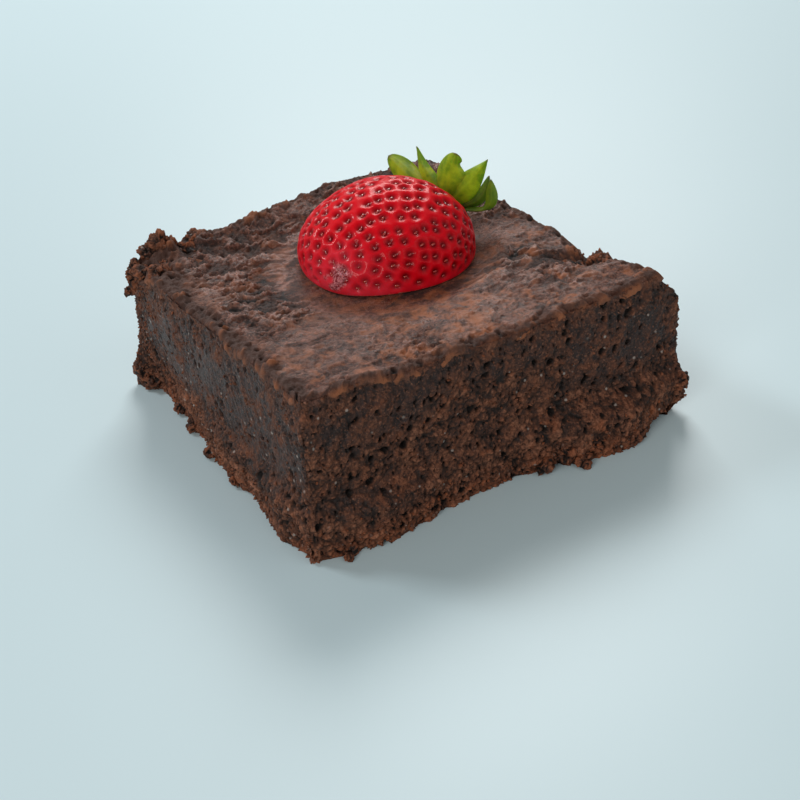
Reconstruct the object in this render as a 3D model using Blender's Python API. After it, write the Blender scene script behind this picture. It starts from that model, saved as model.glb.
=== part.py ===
"""A square chocolate brownie with half a strawberry lying cut face down on its crust.

Three solids: the brownie, the strawberry half and the strawberry's green cap.
Lengths are in millimetres and become metres where a mesh is made. The origin is the
middle of the brownie's base, +Z is up and the front cut face looks along -Y.
"""

import math

import bmesh
import bpy
from mathutils import Vector, noise

MM = 0.001
GAP = 0.3                      # room left between pieces that touch
CENTRING = (-0.10, 1.71, 0.0)  # moves every solid so that the whole outline is centred

# Brownie: corners (x, y) of its base, of its sides just under the crust, and of the crust.
BASE_CORNERS = ((-38.3, -34.6), (39.6, -37.6), (-38.2, 36.2), (36.5, 37.0))
WAIST_CORNERS = ((-36.6, -33.0), (39.0, -34.8), (-37.0, 35.6), (35.2, 37.2))
TOP_CORNERS = ((-35.75, -31.8), (34.9, -33.9), (-36.3, 34.3), (33.65, 37.5))

# Height of the crust along the four edges, as (place along the edge, height).
FRONT_EDGE = ((-36.0, 28.8), (-10.0, 27.7), (12.0, 27.4), (34.5, 28.2))
BACK_EDGE = ((-36.0, 25.8), (-31.5, 29.4), (-28.4, 31.2), (-25.6, 26.9), (-22.5, 29.0),
             (-16.0, 28.2), (-5.0, 29.3), (11.0, 30.0), (33.0, 28.4))
LEFT_EDGE = ((-32.0, 28.8), (0.0, 27.8), (22.0, 27.2), (34.0, 25.8))
RIGHT_EDGE = ((-34.0, 28.2), (-27.0, 27.4), (-21.0, 26.0), (-14.5, 22.6), (-11.0, 25.2),
              (-4.0, 26.8), (20.0, 27.4), (37.0, 28.4))
EDGE_REACH = 10.0              # how far in from an edge its unevenness is felt
TOP_SPAN = 70.0
TOP_SAG = 1.3                  # how far the middle of the crust lies below its edges
EDGE_RADIUS = 1.8

# How far the base stands out from the straight line between its corners, as (place, reach).
BASE_FRONT_REACH = ((-38.0, 0.2), (-31.0, 1.5), (-24.5, 2.4), (-18.0, 1.6), (-11.0, 0.2), (1.0, -0.3),
                    (8.0, 0.9), (13.0, 2.4), (22.5, 4.0), (31.0, 1.3), (36.0, 0.0))
BASE_LEFT_REACH = ((-35.0, 0.3), (-30.0, -0.2), (-25.5, 1.1), (-19.0, 0.6), (-13.0, 0.0), (-6.0, 0.8),
                   (1.0, 0.5), (10.0, -1.2), (21.0, -2.1), (31.5, -2.2), (36.0, 0.5))
REACH_INWARDS = 0.25           # share of the block over which that reach dies away inwards
LIP_HEIGHTS = (0.24, 0.40)     # where the base band draws in to the side, as shares of the height
LIP_SHARE = 0.75               # share of the lean from base to waist taken up there
WAIST_HEIGHT = 0.80
SIDE_WAVE = 0.55
SIDE_WAVE_LENGTH = 9.0
TOP_WAVE = 0.35
TORN_CORNER_REACH = 8.0
TORN_CORNER_DEPTH = 0.9
CELLS_ACROSS = 32
CELLS_UP = 9
STATION_CROWDING = 0.55        # 0 spaces the cells evenly, 1 crowds them at the edges

# Strawberry half: lies on a flat patch of the crust, tip towards the front left.
SEAT_HEIGHT = 25.6
BERRY_CENTRE = (2.27, 6.2)
BERRY_HEADING = math.radians(30.0)      # direction from tip to leaves, from +X
BERRY_LENGTH = 32.0
BERRY_WIDTH = 34.0
BERRY_CROWN = 11.8             # height of the back above the widest line
BERRY_UNDERCUT = 1.8           # height of the widest line above the cut face
BERRY_WIDEST = 0.60            # share of the length, from the tip
BERRY_SEGMENTS = 36
BERRY_RINGS = 26
SEAT_BLEND = 0.30

# Green cap: a disc on the berry's blunt end with leaves standing round its upper half.
CAP_SIDE_SHIFT = -4.6          # sideways from the berry's axis, towards the right
CAP_HEIGHT = 29.1
CAP_RADIUS = 2.3
CAP_STAND_OFF = 0.75
LEAF_THICKNESS = 0.5
LEAF_ROWS = 9
LEAF_COLUMNS = 4
# Each leaf: direction round the disc (degrees), length, width, lean outwards, upward curl.
LEAVES = (
    (12.0, 9.5, 4.6, 10.0, 10.0),
    (38.0, 13.2, 5.0, 8.0, 6.0),
    (64.0, 11.0, 3.8, 10.0, 8.0),
    (101.0, 9.9, 6.2, 4.0, 0.0),
    (129.0, 11.8, 6.2, 8.0, -4.0),
    (150.0, 9.8, 3.4, 26.0, -20.0),
    (178.0, 12.8, 3.4, 10.0, -46.0),
)


def principled(name, colour, roughness, coat=0.0):
    """A material with one Principled shader."""
    material = bpy.data.materials.new(name)
    material.use_nodes = True
    shader = material.node_tree.nodes["Principled BSDF"]
    shader.inputs["Base Color"].default_value = (*colour, 1.0)
    shader.inputs["Roughness"].default_value = roughness
    shader.inputs["Metallic"].default_value = 0.0
    shader.inputs["Coat Weight"].default_value = coat
    material.diffuse_color = (*colour, 1.0)
    return material


def add_object(name, mesh_bm, material, collection, smooth_angle):
    """Turn a bmesh in millimetres into a smooth-shaded object in metres."""
    bmesh.ops.translate(mesh_bm, vec=CENTRING, verts=mesh_bm.verts)
    bmesh.ops.scale(mesh_bm, vec=(MM, MM, MM), verts=mesh_bm.verts)
    bmesh.ops.recalc_face_normals(mesh_bm, faces=mesh_bm.faces)
    mesh = bpy.data.meshes.new(name)
    mesh_bm.to_mesh(mesh)
    mesh_bm.free()
    mesh.materials.append(material)
    mesh.shade_smooth()
    mesh.set_sharp_from_angle(angle=math.radians(smooth_angle))
    obj = bpy.data.objects.new(name, mesh)
    collection.objects.link(obj)
    return obj


def mix(a, b, share):
    return a + (b - a) * share


def smooth_step(low, high, value):
    share = min(max((value - low) / (high - low), 0.0), 1.0)
    return share * share * (3.0 - 2.0 * share)


def edge_height(profile, place):
    """Height on an edge profile, eased between its points."""
    if place <= profile[0][0]:
        return profile[0][1]
    for (start, low), (end, high) in zip(profile, profile[1:]):
        if place <= end:
            return mix(low, high, smooth_step(start, end, place))
    return profile[-1][1]


def between_corners(corners, u, v):
    """Point of a four-cornered patch: u runs left to right, v front to back."""
    front_left, front_right, back_left, back_right = corners
    front = Vector(front_left).lerp(Vector(front_right), u)
    back = Vector(back_left).lerp(Vector(back_right), u)
    return front.lerp(back, v)


def berry_axes():
    """Unit vectors along the berry (tip to leaves) and to its left, seen from above."""
    along = Vector((math.cos(BERRY_HEADING), math.sin(BERRY_HEADING)))
    return along, Vector((-along.y, along.x))


def seat_share(x, y):
    """1 under the berry and its cap, 0 away from them."""
    along, across = berry_axes()
    offset = Vector((x, y)) - Vector(BERRY_CENTRE)
    length = offset.dot(along) / (BERRY_LENGTH / 2 + 2.5)
    width = offset.dot(across) / (BERRY_WIDTH / 2 + 0.5)
    return 1.0 - smooth_step(1.05, 1.05 + SEAT_BLEND, math.hypot(length, width))


def crust_height(x, y, u, v):
    """Height of the top crust: a patch through its corners, less the sag of its middle.

    Each edge adds its own unevenness, which dies away over EDGE_REACH towards the middle.
    """
    front_left, front_right = FRONT_EDGE[0][1], FRONT_EDGE[-1][1]
    back_left, back_right = BACK_EDGE[0][1], BACK_EDGE[-1][1]
    height = mix(mix(front_left, front_right, u), mix(back_left, back_right, u), v)
    edges = (
        (edge_height(FRONT_EDGE, x) - mix(front_left, front_right, u), v),
        (edge_height(BACK_EDGE, x) - mix(back_left, back_right, u), 1.0 - v),
        (edge_height(LEFT_EDGE, y) - mix(front_left, back_left, v), u),
        (edge_height(RIGHT_EDGE, y) - mix(front_right, back_right, v), 1.0 - u),
    )
    for rise, share_inwards in edges:
        height += rise * (1.0 - smooth_step(0.0, EDGE_REACH, share_inwards * TOP_SPAN))
    bulge = (1.0 - (2.0 * u - 1.0) ** 4) * (1.0 - (2.0 * v - 1.0) ** 4)
    height += TOP_WAVE * noise.noise(Vector((x / 7.0, y / 7.0, 3.0))) - TOP_SAG * bulge
    return mix(height, SEAT_HEIGHT, seat_share(x, y))


def round_box(point, half, radius):
    """Pull a point on a box onto its rounded upper and upright edges; the base stays sharp."""
    inset = Vector([max(abs(p) - (h - radius), 0.0) for p, h in zip(point, half)])
    if point.z < 0.0:
        inset.z = 0.0
    if inset.length == 0.0:
        return point
    pull = inset * (1.0 - max(inset) / inset.length)
    return Vector([p - math.copysign(d, p) for p, d in zip(point, pull)])


def brownie_point(point, half):
    """Place of a point of the plain block on the real, leaning and uneven one."""
    rounded = round_box(point, half, EDGE_RADIUS)
    u, v, w = [0.5 + 0.5 * p / h for p, h in zip(rounded, half)]
    base = between_corners(BASE_CORNERS, u, v)
    base.y -= edge_height(BASE_FRONT_REACH, base.x) * (1.0 - smooth_step(0.0, REACH_INWARDS, v))
    base.x -= edge_height(BASE_LEFT_REACH, base.y) * (1.0 - smooth_step(0.0, REACH_INWARDS, u))
    drawn_in = LIP_SHARE * smooth_step(*LIP_HEIGHTS, w) + (1.0 - LIP_SHARE) * min(w / WAIST_HEIGHT, 1.0)
    place = base.lerp(between_corners(WAIST_CORNERS, u, v), drawn_in)
    place = place.lerp(between_corners(TOP_CORNERS, u, v), smooth_step(WAIST_HEIGHT, 1.0, w))
    height = w * crust_height(place.x, place.y, u, v)

    outward = Vector((2.0 * u - 1.0, 2.0 * v - 1.0))
    at_side = max(abs(outward.x), abs(outward.y)) ** 12
    wave = noise.noise(Vector((place.x, place.y, height)) / SIDE_WAVE_LENGTH) - 0.35
    to_corner = math.hypot(place.x - TOP_CORNERS[2][0], place.y - TOP_CORNERS[2][1])
    torn = TORN_CORNER_DEPTH * (1.0 - smooth_step(0.0, TORN_CORNER_REACH, to_corner))
    torn *= smooth_step(0.45, 0.75, w)
    shift = outward.normalized() * (SIDE_WAVE * at_side * wave - torn) if outward.length else outward
    return Vector((place.x + shift.x, place.y + shift.y, height))


def build_brownie(collection):
    """Block cut into a fine grid, then shaped by brownie_point; its base stays one flat face."""
    half = Vector((36.0, 36.0, 13.8))
    block = bmesh.new()
    bmesh.ops.create_cube(block, size=2.0)
    bmesh.ops.scale(block, vec=half, verts=block.verts)
    for axis, cells in ((0, CELLS_ACROSS), (1, CELLS_ACROSS), (2, CELLS_UP)):
        normal = Vector([1.0 if k == axis else 0.0 for k in range(3)])
        for step in range(1, cells):
            spread = math.sin((step / cells - 0.5) * math.pi)
            even = 2.0 * step / cells - 1.0
            place = normal * half[axis] * mix(even, spread, STATION_CROWDING)
            everything = block.verts[:] + block.edges[:] + block.faces[:]
            bmesh.ops.bisect_plane(block, geom=everything, plane_co=place, plane_no=normal)
    underside = [face for face in block.faces if face.normal.z < -0.9]
    bmesh.ops.dissolve_faces(block, faces=underside)
    for vertex in block.verts:
        vertex.co = brownie_point(vertex.co.copy(), half)
    colour = (0.052, 0.024, 0.015)
    return add_object("brownie", block, principled("chocolate_crumb", colour, 0.62), collection, 50)


def berry_girth(share):
    """Radius of the berry as a share of its widest, from the tip (0) to the leaves (1)."""
    if share < BERRY_WIDEST:
        return max(1.0 - ((BERRY_WIDEST - share) / BERRY_WIDEST) ** 2, 0.0) ** 0.575
    return max(1.0 - ((share - BERRY_WIDEST) / (1.0 - BERRY_WIDEST)) ** 2.6, 0.0) ** 0.5


def build_berry(collection):
    """A whole berry shaped from a sphere, cut by a plane a little below its widest line."""
    along, across = berry_axes()
    berry = bmesh.new()
    bmesh.ops.create_uvsphere(berry, u_segments=BERRY_SEGMENTS, v_segments=BERRY_RINGS, radius=1.0)
    centre = Vector((*BERRY_CENTRE, SEAT_HEIGHT + GAP + BERRY_UNDERCUT))
    for vertex in berry.verts:
        ring = math.hypot(vertex.co.x, vertex.co.y)
        share = 0.5 * (1.0 - vertex.co.z)
        girth = berry_girth(share)
        side = girth * BERRY_WIDTH / 2 * (vertex.co.x / ring if ring else 0.0)
        rise = girth * BERRY_CROWN * (vertex.co.y / ring if ring else 0.0)
        flat = along * (share - 0.5) * BERRY_LENGTH + across * side
        vertex.co = centre + Vector((flat.x, flat.y, rise))
    cut_plane = Vector((0.0, 0.0, SEAT_HEIGHT + GAP))
    everything = berry.verts[:] + berry.edges[:] + berry.faces[:]
    cut = bmesh.ops.bisect_plane(berry, geom=everything, plane_co=cut_plane,
                                 plane_no=(0.0, 0.0, 1.0), clear_inner=True)
    rim = [item for item in cut["geom_cut"] if isinstance(item, bmesh.types.BMEdge)]
    bmesh.ops.edgeloop_fill(berry, edges=rim)
    material = principled("ripe_strawberry", (0.42, 0.008, 0.012), 0.28, coat=0.4)
    return add_object("strawberry_half", berry, material, collection, 40)


def leaf_half_width(share, width):
    """Ovate leaf: widest a third of the way out, drawn to a narrow tip."""
    swell = math.sin(math.pi * min(share, 1.0) ** 0.62) ** 0.8 if 0.0 < share < 1.0 else 0.0
    return max(width / 2 * swell, 0.12)


def build_cap(collection):
    """Disc and leaves as one sheet, shared along the disc's rim, given a thickness."""
    along, across = berry_axes()
    blunt_end = Vector(BERRY_CENTRE) + along * (BERRY_LENGTH / 2 + CAP_STAND_OFF)
    flat = blunt_end + across * CAP_SIDE_SHIFT
    centre = Vector((flat.x, flat.y, CAP_HEIGHT))
    out = Vector((along.x, along.y, 0.0))
    left = Vector((across.x, across.y, 0.0))
    up = Vector((0.0, 0.0, 1.0))

    def rim_direction(angle):
        return left * math.cos(angle) + up * math.sin(angle)

    sheet = bmesh.new()
    hub = sheet.verts.new(centre)
    first = math.radians(LEAVES[0][0] - 12.0)
    last = math.radians(LEAVES[-1][0] + 12.0)
    steps = len(LEAVES) * LEAF_COLUMNS
    arc = [first + (last - first) * k / steps for k in range(steps + 1)]
    rest = [last + (2.0 * math.pi - last + first) * k / 8 for k in range(1, 8)]
    rim = [sheet.verts.new(centre + rim_direction(angle) * CAP_RADIUS) for angle in arc + rest]
    for here, after in zip(rim, rim[1:] + rim[:1]):
        sheet.faces.new((hub, here, after))

    for index, (heading, length, width, lean, curl) in enumerate(LEAVES):
        roots = rim[index * LEAF_COLUMNS:(index + 1) * LEAF_COLUMNS + 1]
        root_middle = sum((root.co for root in roots), Vector()) / len(roots)
        spoke = rim_direction(math.radians(heading))
        sideways = out.cross(spoke)
        line = root_middle.copy()
        previous = roots
        for row in range(1, LEAF_ROWS + 1):
            share = row / LEAF_ROWS
            tilt = math.radians(lean + 0.5 * curl * share)
            turn = math.radians(curl * share)
            heading_now = spoke * math.cos(turn) + sideways * math.sin(turn)
            line += (heading_now * math.cos(tilt) + out * math.sin(tilt)) * length / LEAF_ROWS
            across_now = out.cross(heading_now).normalized()
            half = leaf_half_width(share, width)
            row_verts = []
            for column, root in enumerate(roots):
                place = 2.0 * column / LEAF_COLUMNS - 1.0
                cup = out * 0.12 * width * (place * place - 0.5) * (1.0 - share)
                free = line + across_now * half * place + cup
                held = root.co + (line - root_middle)
                row_verts.append(sheet.verts.new(held.lerp(free, smooth_step(0.0, 0.45, share))))
            for k in range(LEAF_COLUMNS):
                sheet.faces.new((previous[k], row_verts[k], row_verts[k + 1], previous[k + 1]))
            previous = row_verts
    bmesh.ops.recalc_face_normals(sheet, faces=sheet.faces)
    bmesh.ops.solidify(sheet, geom=sheet.faces[:], thickness=LEAF_THICKNESS)
    material = principled("strawberry_leaf", (0.13, 0.21, 0.012), 0.45)
    return add_object("calyx", sheet, material, collection, 35)


def main():
    for leftover in list(bpy.data.objects):
        bpy.data.objects.remove(leftover, do_unlink=True)
    collection = bpy.data.collections.new("chocolate_brownie")
    bpy.context.scene.collection.children.link(collection)
    build_brownie(collection)
    build_berry(collection)
    build_cap(collection)


main()
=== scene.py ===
"""Looks of a square chocolate brownie with half a strawberry lying on its crust.

Lengths are in millimetres until a mesh is made, when they become metres. Shapes are
surfaces worked out on grids: the cut sides are an outline carried upwards, the crust is
a height over the block's plan, the strawberry is a girth carried along its axis, and a
leaf is a bent strip. Relief comes from lattice noise read at each point. Shapes are laid
out in the maker's own frame, and CENTRING carries them to the middle of the part's frame.
"""

import logging
import math
from dataclasses import dataclass, field
from enum import Enum

import bpy
import numpy as np
from mathutils import Matrix, Vector


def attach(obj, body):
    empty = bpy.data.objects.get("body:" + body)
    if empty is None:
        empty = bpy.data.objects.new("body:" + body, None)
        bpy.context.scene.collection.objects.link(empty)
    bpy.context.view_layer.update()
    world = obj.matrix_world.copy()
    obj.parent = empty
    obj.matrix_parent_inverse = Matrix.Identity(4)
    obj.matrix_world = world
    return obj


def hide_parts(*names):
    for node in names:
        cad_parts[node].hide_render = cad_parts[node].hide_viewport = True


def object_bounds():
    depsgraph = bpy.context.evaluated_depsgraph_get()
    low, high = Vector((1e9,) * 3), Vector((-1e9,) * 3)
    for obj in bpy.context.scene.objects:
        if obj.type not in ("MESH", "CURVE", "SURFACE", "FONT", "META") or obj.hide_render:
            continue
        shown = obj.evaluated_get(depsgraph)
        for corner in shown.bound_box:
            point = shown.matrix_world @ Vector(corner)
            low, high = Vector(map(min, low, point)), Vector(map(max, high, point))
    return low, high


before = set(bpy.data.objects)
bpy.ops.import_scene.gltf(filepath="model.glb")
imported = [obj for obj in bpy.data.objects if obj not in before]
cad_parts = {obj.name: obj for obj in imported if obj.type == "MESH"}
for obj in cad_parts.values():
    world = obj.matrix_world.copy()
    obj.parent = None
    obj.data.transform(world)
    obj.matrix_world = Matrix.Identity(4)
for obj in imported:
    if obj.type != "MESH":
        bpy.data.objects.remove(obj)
CAD_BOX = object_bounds()

MM = 0.001
CENTRING = np.array([-0.10, 1.71, 0.0])
MARGIN = 0.0005
HAIR = 0.00002
CORE_HEIGHT = 21.0
HEXAGON_SHARE = 0.866
GOLDEN_TURN = 3.0 - math.sqrt(5.0)
LOG = logging.getLogger("brownie")

Points = np.ndarray
Values = np.ndarray


class CutSide(Enum):
    """The four cut sides, in the order the outline runs round them."""

    FRONT = 0
    RIGHT = 1
    BACK = 2
    LEFT = 3


# ---------------------------------------------------------------- plain sums on arrays

def ease(low: float, high: float, value: Values) -> Values:
    """Smooth step: 0 below low, 1 above high, 3t^2 - 2t^3 between."""
    t = np.clip((value - low) / (high - low), 0.0, 1.0)
    return t * t * (3.0 - 2.0 * t)


def fade(low: float, high: float, value: Values) -> Values:
    """The smooth step turned over: 1 below low, 0 above high."""
    return 1.0 - ease(low, high, value)


def blend(a: Values, b: Values, share: Values) -> Values:
    """Straight mix of a and b by a share from 0 to 1."""
    return a + (b - a) * share


def unit(vectors: Points) -> Points:
    """Vectors scaled to length 1."""
    return vectors / np.maximum(np.linalg.norm(vectors, axis=-1, keepdims=True), 1e-12)


def on_floor(x: Values, y: Values) -> Points:
    """Points at height 0 over the places x, y."""
    return np.stack([x, y, np.zeros_like(x)], axis=-1)


def away_from(centre: tuple[float, float], points: Points) -> Values:
    """Distance in plan from one place to each point."""
    return np.hypot(points[..., 0] - centre[0], points[..., 1] - centre[1])


def walk_normals(ring: Points, reach: int) -> Points:
    """Level unit vectors out of a closed walk, from the points so many steps ahead and back."""
    step = np.roll(ring, -reach, axis=0) - np.roll(ring, reach, axis=0)
    return unit(on_floor(step[:, 1], -step[:, 0]))


def lattice_random(cells: Points, seed: int) -> Values:
    """One fixed number from 0 to 1 for each cell of a whole-number lattice.

    Args:
        cells: Whole-number cell coordinates, last axis of length 3.
        seed: Picks one of many unrelated fields.

    Returns:
        The cells' numbers, mixed from the coordinates by multiplying and shifting bits.
    """
    c = cells.astype(np.int64)
    h = (c[..., 0] * 374761393 + c[..., 1] * 668265263 + c[..., 2] * 1440662683 + seed * 974634777)
    h = h & 0xFFFFFFFF
    h = ((h ^ (h >> 13)) * 1274126177) & 0xFFFFFFFF
    h = ((h ^ (h >> 15)) * 2246822519) & 0xFFFFFFFF
    return (h ^ (h >> 16)) / 4294967295.0


def soft_noise(points: Points, wavelength: float, seed: int) -> Values:
    """Lattice noise from -1 to 1: corner numbers of each cell, mixed by smooth steps.

    Args:
        points: Places, last axis of length 3.
        wavelength: Size of a cell.
        seed: Picks the field.

    Returns:
        Noise at each place.
    """
    scaled = points / wavelength
    cell = np.floor(scaled)
    part = scaled - cell
    part = part * part * (3.0 - 2.0 * part)
    total = np.zeros(points.shape[:-1])
    for corner in np.ndindex(2, 2, 2):
        step = np.array(corner)
        weight = np.prod(np.where(step == 1, part, 1.0 - part), axis=-1)
        total += weight * lattice_random(cell + step, seed)
    return 2.0 * total - 1.0


def layered_noise(points: Points, wavelength: float, layers: int, gain: float, seed: int) -> Values:
    """Sum of soft noises, each of half the last one's wavelength and gain times its height.

    Args:
        points: Places, last axis of length 3.
        wavelength: Wavelength of the first layer.
        layers: How many layers.
        gain: Height of a layer against the one before.
        seed: Picks the fields.

    Returns:
        Noise of about -1 to 1 at each place.
    """
    total = np.zeros(points.shape[:-1])
    height = 1.0
    whole = 0.0
    for layer in range(layers):
        total += height * soft_noise(points, wavelength / 2 ** layer, seed + 17 * layer)
        whole += height
        height *= gain
    return total / whole * 1.6


def drift(points: Points, wavelength: float, seed: int) -> Points:
    """A wandering vector at each point: three soft noises, one for each axis."""
    return np.stack([soft_noise(points, wavelength, seed + k) for k in range(3)], axis=-1)


def strewn_dot(cell: Points, offset: tuple[int, ...], seed: int) -> tuple[Points, Points]:
    """One of the 27 cells round each cell, and the place of its dot, both in cells."""
    other = cell + (np.array(offset) - 1)
    return other, other + np.stack([lattice_random(other, seed + k) for k in (1, 2, 3)], axis=-1)


def nearest_holes(points: Points, spacing: float, size: tuple[float, float], share: Values,
                  seed: int) -> Values:
    """Depth of round holes strewn one to a lattice cell.

    A hole has its centre somewhere in its cell and a radius picked between two sizes. It
    is there where its own random number is under the share asked for. Inside it the depth
    is the square root of 1 - (distance / radius)^2.

    Args:
        points: Places, last axis of length 3.
        spacing: Size of a cell.
        size: Smallest and largest radius.
        share: Share of cells that hold a hole, for each place.
        seed: Picks the field.

    Returns:
        Depth from 0 to 1, the deepest of the holes over each place.
    """
    cell = np.floor(points / spacing)
    depth = np.zeros(points.shape[:-1])
    for offset in np.ndindex(3, 3, 3):
        other, dot = strewn_dot(cell, offset, seed)
        radius = blend(size[0], size[1], lattice_random(other, seed + 4) ** 2)
        reach = np.linalg.norm(points - dot * spacing, axis=-1) / radius
        here = np.sqrt(np.clip(1.0 - reach ** 2, 0.0, 1.0))
        depth = np.maximum(depth, np.where(lattice_random(other, seed + 5) < share, here, 0.0))
    return depth


def nearest_two(points: Points, spacing: float, seed: int) -> tuple[Values, Values]:
    """Distances to the nearest two of dots strewn one to a lattice cell.

    Args:
        points: Places, last axis of length 3.
        spacing: Size of a cell.
        seed: Picks the field.

    Returns:
        Nearest and second nearest distance, as shares of the spacing.
    """
    cell = np.floor(points / spacing)
    first = np.full(points.shape[:-1], 9.0)
    second = first.copy()
    for offset in np.ndindex(3, 3, 3):
        reach = np.linalg.norm(points / spacing - strewn_dot(cell, offset, seed)[1], axis=-1)
        second = np.minimum(second, np.maximum(first, reach))
        first = np.minimum(first, reach)
    return first, second


def along_profile(profile: tuple[tuple[float, float], ...], place: Values) -> Values:
    """Height of an edge at each place, eased between the edge's own points.

    Args:
        profile: Pairs of place and height.
        place: Where to read it.

    Returns:
        The heights.
    """
    stations = np.array([p[0] for p in profile])
    heights = np.array([p[1] for p in profile])
    after = np.clip(np.searchsorted(stations, place), 1, len(stations) - 1)
    share = ease(stations[after - 1], stations[after], place)
    return blend(heights[after - 1], heights[after], share)


# ---------------------------------------------------------------- meshes from arrays

@dataclass
class Skin:
    """A mesh being built: points in millimetres, faces as index arrays, marks per point."""

    points: Points
    faces: list[np.ndarray]
    marks: dict[str, Values] = field(default_factory=dict)

    def volume(self) -> float:
        """Signed volume: the sum over corner triangles of a . (b x c) / 6."""
        total = 0.0
        for block in self.faces:
            a = self.points[block[:, 0]]
            for k in range(1, block.shape[1] - 1):
                cross = np.cross(self.points[block[:, k]], self.points[block[:, k + 1]])
                total += float(np.einsum("ij,ij->", a, cross)) / 6.0
        return total

    def outward(self) -> "Skin":
        """The same skin, with its faces turned so that they point out."""
        if self.volume() < 0.0:
            self.faces = [block[:, ::-1] for block in self.faces]
        return self

    @staticmethod
    def joined(skins: list["Skin"]) -> "Skin":
        """Several skins as one.

        Args:
            skins: Skins with the same marks.

        Returns:
            One skin with all their points, faces and marks.
        """
        faces: list[np.ndarray] = []
        start = 0
        for skin in skins:
            faces += [block + start for block in skin.faces]
            start += len(skin.points)
        marks = {name: np.concatenate([s.marks[name] for s in skins]) for name in skins[0].marks}
        return Skin(np.concatenate([s.points for s in skins]), faces, marks)

    def held(self) -> Points:
        """The points in metres, eased in where they would pass the limits of the CAD box.

        A point closer to a side of the box than the margin, or outside it, is moved in so that
        its gap is margin times e to the power (gap / margin - 1), which is never below zero.

        Returns:
            One row a point.
        """
        points = (self.points + CENTRING) * MM
        low, high = np.array(CAD_BOX[0]) + HAIR, np.array(CAD_BOX[1]) - HAIR
        gap = high - points
        points = np.where(gap < MARGIN, high - MARGIN * np.exp(np.minimum(gap / MARGIN - 1.0, 0.0)), points)
        gap = points - low
        eased = low + MARGIN * np.exp(np.minimum(gap / MARGIN - 1.0, 0.0))
        return np.where((gap < MARGIN) & np.array([True, True, False]), eased, points)

    def build(self, name: str, material: bpy.types.Material, free: bool = False) -> bpy.types.Object:
        """Put the skin into a mesh object at the origin.

        Args:
            name: Name of the piece.
            material: Its material.
            free: Whether the piece may reach out of the CAD box.

        Returns:
            The new object, linked to the scene.
        """
        mesh = bpy.data.meshes.new(name)
        mesh.vertices.add(len(self.points))
        places = (self.points + CENTRING) * MM if free else self.held()
        mesh.vertices.foreach_set("co", places.astype(np.float32).ravel())
        corners = np.concatenate([block.ravel() for block in self.faces])
        sizes = np.concatenate([np.full(len(block), block.shape[1]) for block in self.faces])
        starts = np.concatenate([[0], np.cumsum(sizes)[:-1]])
        mesh.loops.add(len(corners))
        mesh.loops.foreach_set("vertex_index", corners.astype(np.int32))
        mesh.polygons.add(len(sizes))
        mesh.polygons.foreach_set("loop_start", starts.astype(np.int32))
        mesh.update(calc_edges=True)
        mesh.validate()
        for mark, values in self.marks.items():
            layer = mesh.attributes.new(mark, "FLOAT", "POINT")
            layer.data.foreach_set("value", values.astype(np.float32))
        mesh.shade_smooth()
        mesh.materials.append(material)
        piece = bpy.data.objects.new(name, mesh)
        bpy.context.scene.collection.objects.link(piece)
        return piece


def grid_faces(rows: int, columns: int, wrap: bool = False) -> np.ndarray:
    """Quads between neighbouring points of a grid stored row by row.

    Args:
        rows: Rows of points.
        columns: Columns of points.
        wrap: True where the last column meets the first.

    Returns:
        Array of four point numbers for each quad.
    """
    row = np.arange(rows - 1)[:, None]
    column = np.arange(columns if wrap else columns - 1)[None, :]
    after = (column + 1) % columns
    a, b = row * columns + column, row * columns + after
    return np.stack([a, b, b + columns, a + columns], axis=-1).reshape(-1, 4)


def fan_faces(ring: np.ndarray, centre: int, closed: bool = True) -> np.ndarray:
    """Triangles from a ring of points to one centre point.

    Args:
        ring: Point numbers of the ring, in order.
        centre: Point number of the centre.
        closed: True where the ring's end meets its start.

    Returns:
        Array of three point numbers for each triangle.
    """
    after = np.roll(ring, -1) if closed else ring[1:]
    here = ring if closed else ring[:-1]
    return np.stack([np.full(len(here), centre), here, after], axis=-1)


def tube_faces(rows: int, columns: int) -> list[np.ndarray]:
    """Faces of a closed tube: a grid that meets itself and a fan over each end.

    Args:
        rows: Rows of points.
        columns: Points of one row.

    Returns:
        Face arrays. The two end points are numbered after those of the grid.
    """
    ring = np.arange(columns)
    return [grid_faces(rows, columns, wrap=True), fan_faces(ring[::-1], rows * columns),
            fan_faces(ring + (rows - 1) * columns, rows * columns + 1)]


def ball_angles(rows: int, columns: int) -> tuple[Values, Values]:
    """Angles of a ball's grid without its poles: a column from the pole and a row round it."""
    theta = np.linspace(0.0, math.pi, rows + 2)[1:-1, None]
    return theta, np.linspace(0.0, 2.0 * math.pi, columns, endpoint=False)[None, :]


def with_ends(values: Values, at_ends: float = 0.0) -> Values:
    """A grid's values in one row, and the value of its two end points."""
    return np.concatenate([values.ravel(), [at_ends, at_ends]])


def settle(piece: bpy.types.Object, node: str) -> bpy.types.Object:
    """Hang a finished piece on the frame in place of a CAD node.

    Args:
        piece: The piece.
        node: Name of the CAD node it stands for.

    Returns:
        The same piece.
    """
    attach(piece, "root")
    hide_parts(node)
    LOG.info("%s: %d points, %d faces", piece.name, len(piece.data.vertices), len(piece.data.polygons))
    return piece


# ---------------------------------------------------------------- shader parts

Colour = tuple[float, float, float]


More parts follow.
